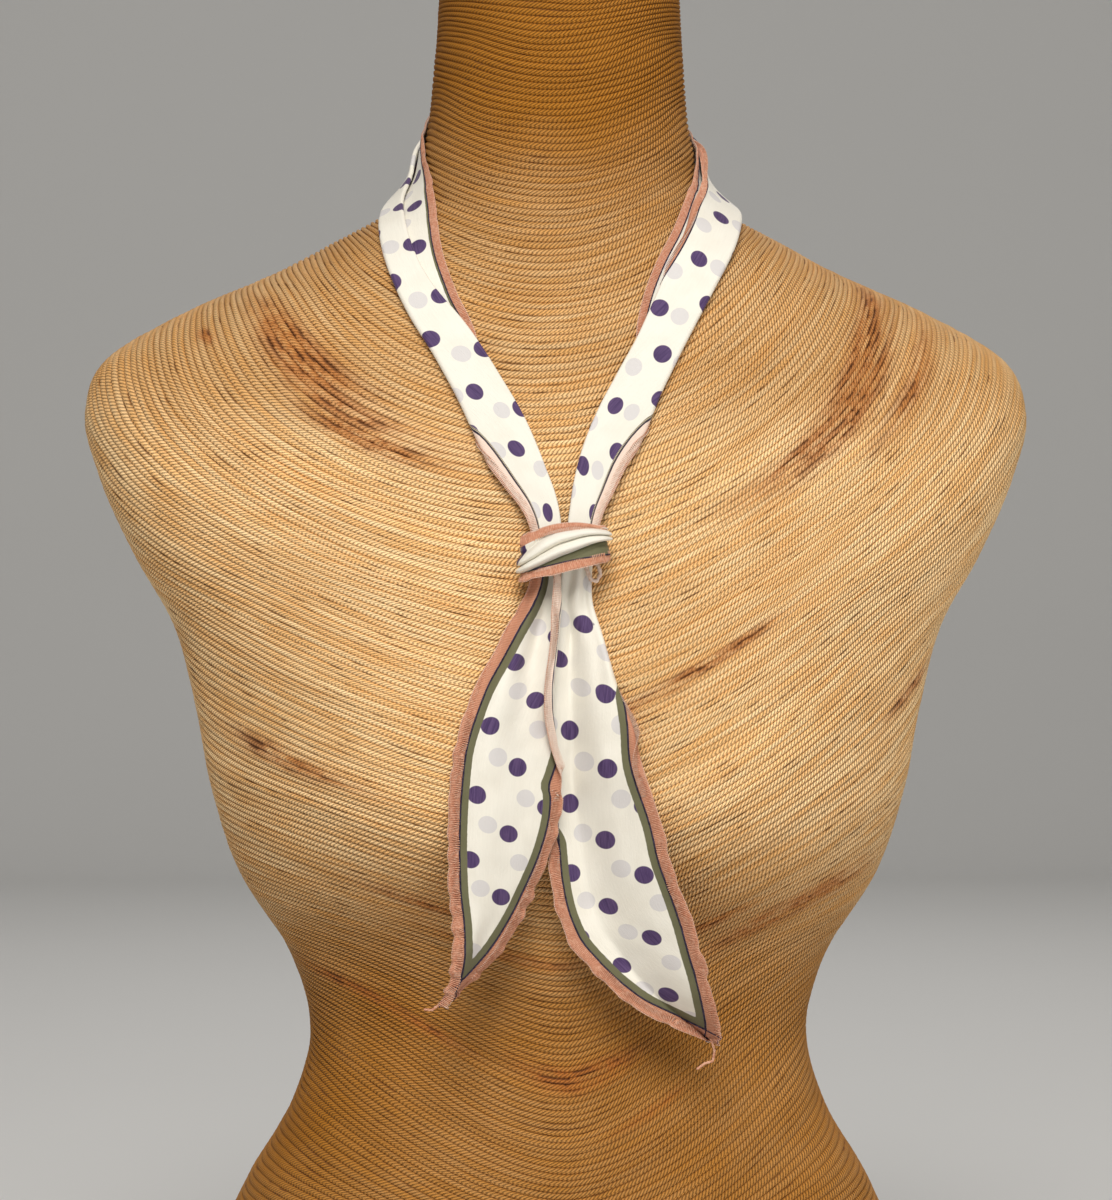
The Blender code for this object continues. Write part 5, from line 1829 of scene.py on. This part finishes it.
# Camera: the photograph's height in pixels, metres a pixel at the form's middle, and the shift that
# frames it, in pixels.
PHOTO_HEIGHT, PHOTO_SCALE, PHOTO_SHIFT = 1200, 0.00044, -2
SENSOR, CAMERA_HEIGHT = 36.0, 0.369


class Stage(Operator):
    """Sets the floor, the backdrop, the lights and the camera"""

    bl_idname = "scarf.stage"
    bl_label = "Stage"

    def execute(self, context):
        stage = context.scene.scarf_stage
        turns = np.linspace(0, math.pi / 2, 17)[1:]
        profile = [(FLOOR_FRONT, 0.0), (BACKDROP_START, 0.0)]
        for turn in turns:
            y = BACKDROP_START + BACKDROP_CURVE * math.sin(turn)
            profile.append((y, BACKDROP_CURVE - BACKDROP_CURVE * math.cos(turn)))
        profile.append((BACKDROP_START + BACKDROP_CURVE, BACKDROP_TOP))
        sides = (-FLOOR_HALF_WIDTH, FLOOR_HALF_WIDTH)
        points = np.array([[(x, y, z - FLOOR_CLEAR) for x in sides] for y, z in profile])
        mesh = grid_mesh("floor_and_backdrop", points, {}, {}, True)
        made = Finish("studio_paper", Roughness=0.9)
        grain = made.noise(made.place(), 3.0, 2.0)
        made.give(Base_Color=made.mix(grain * 0.15, tuple(stage.floor), FLOOR_SHADE))
        mesh.materials.append(made.material)
        floor = placed("floor_and_backdrop", mesh)
        mesh.shade_smooth()
        for name, place, size, colour in LAMPS:
            lamp = bpy.data.lights.new(name, "AREA")
            lamp.size, lamp.energy, lamp.color = size, getattr(stage, f"{name}_power"), colour
            holder = placed(name, lamp)
            holder.location = place
            aim = Vector((0, 0, AIM_HEIGHT)) - Vector(place)
            holder.rotation_euler = aim.to_track_quat("-Z", "Y").to_euler()
        world = bpy.data.worlds.new("soft_room")
        world.use_nodes = True
        background = world.node_tree.nodes["Background"]
        background.inputs[0].default_value = ROOM_COLOUR
        background.inputs[1].default_value = ROOM_STRENGTH
        context.scene.world = world
        context.scene.view_settings.view_transform = "Standard"
        turn = stage.camera_turn
        back = Vector((math.sin(turn), -math.cos(turn), 0))
        right = Vector((math.cos(turn), math.sin(turn), 0))
        lens = bpy.data.cameras.new("photo_view")
        lens.sensor_width = SENSOR
        lens.lens = SENSOR * stage.camera_distance / (PHOTO_HEIGHT * PHOTO_SCALE)
        lens.shift_x = PHOTO_SHIFT / PHOTO_HEIGHT
        camera = placed("photo_view", lens)
        camera.location = Vector((0, 0, CAMERA_HEIGHT)) + back * stage.camera_distance
        camera.rotation_euler = Matrix((right, Vector((0, 0, 1)), back)).transposed().to_euler()
        context.scene.camera = camera
        return {"FINISHED"}


class ScarfPanel(Panel):
    """Lists the pieces of the scarf and its dress form"""

    bl_idname = "VIEW3D_PT_neck_scarf"
    bl_label = "Neck scarf"
    bl_space_type = "VIEW_3D"
    bl_region_type = "UI"
    bl_category = "Scarf"

    def draw(self, context):
        for group, operators in (
            (context.scene.dress_form, (DressForm,)),
            (context.scene.neck_scarf, (NeckBands, Knot, HangingEnds)),
            (context.scene.scarf_stage, (Stage,)),
        ):
            box = self.layout.box()
            for operator in operators:
                box.operator(operator.bl_idname)
            for name in group.__annotations__:
                box.prop(group, name)


SETTINGS = {"dress_form": FormSettings, "neck_scarf": ScarfSettings, "scarf_stage": StageSettings}
CLASSES = (*SETTINGS.values(), DressForm, NeckBands, Knot, HangingEnds, Stage, ScarfPanel)


def register():
    """Adds the classes and their settings to Blender."""
    for made in CLASSES:
        bpy.utils.register_class(made)
    for name, group in SETTINGS.items():
        setattr(bpy.types.Scene, name, PointerProperty(type=group))


def unregister():
    """Takes them out again."""
    for name in SETTINGS:
        delattr(bpy.types.Scene, name)
    for made in reversed(CLASSES):
        bpy.utils.unregister_class(made)


def main():
    """Builds the stage and every piece."""
    register()
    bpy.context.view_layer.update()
    bpy.ops.scarf.stage()
    bpy.ops.scarf.dress_form()
    bpy.ops.scarf.neck_bands()
    bpy.ops.scarf.knot()
    bpy.ops.scarf.hanging_ends()


if __name__ == "__main__":
    main()
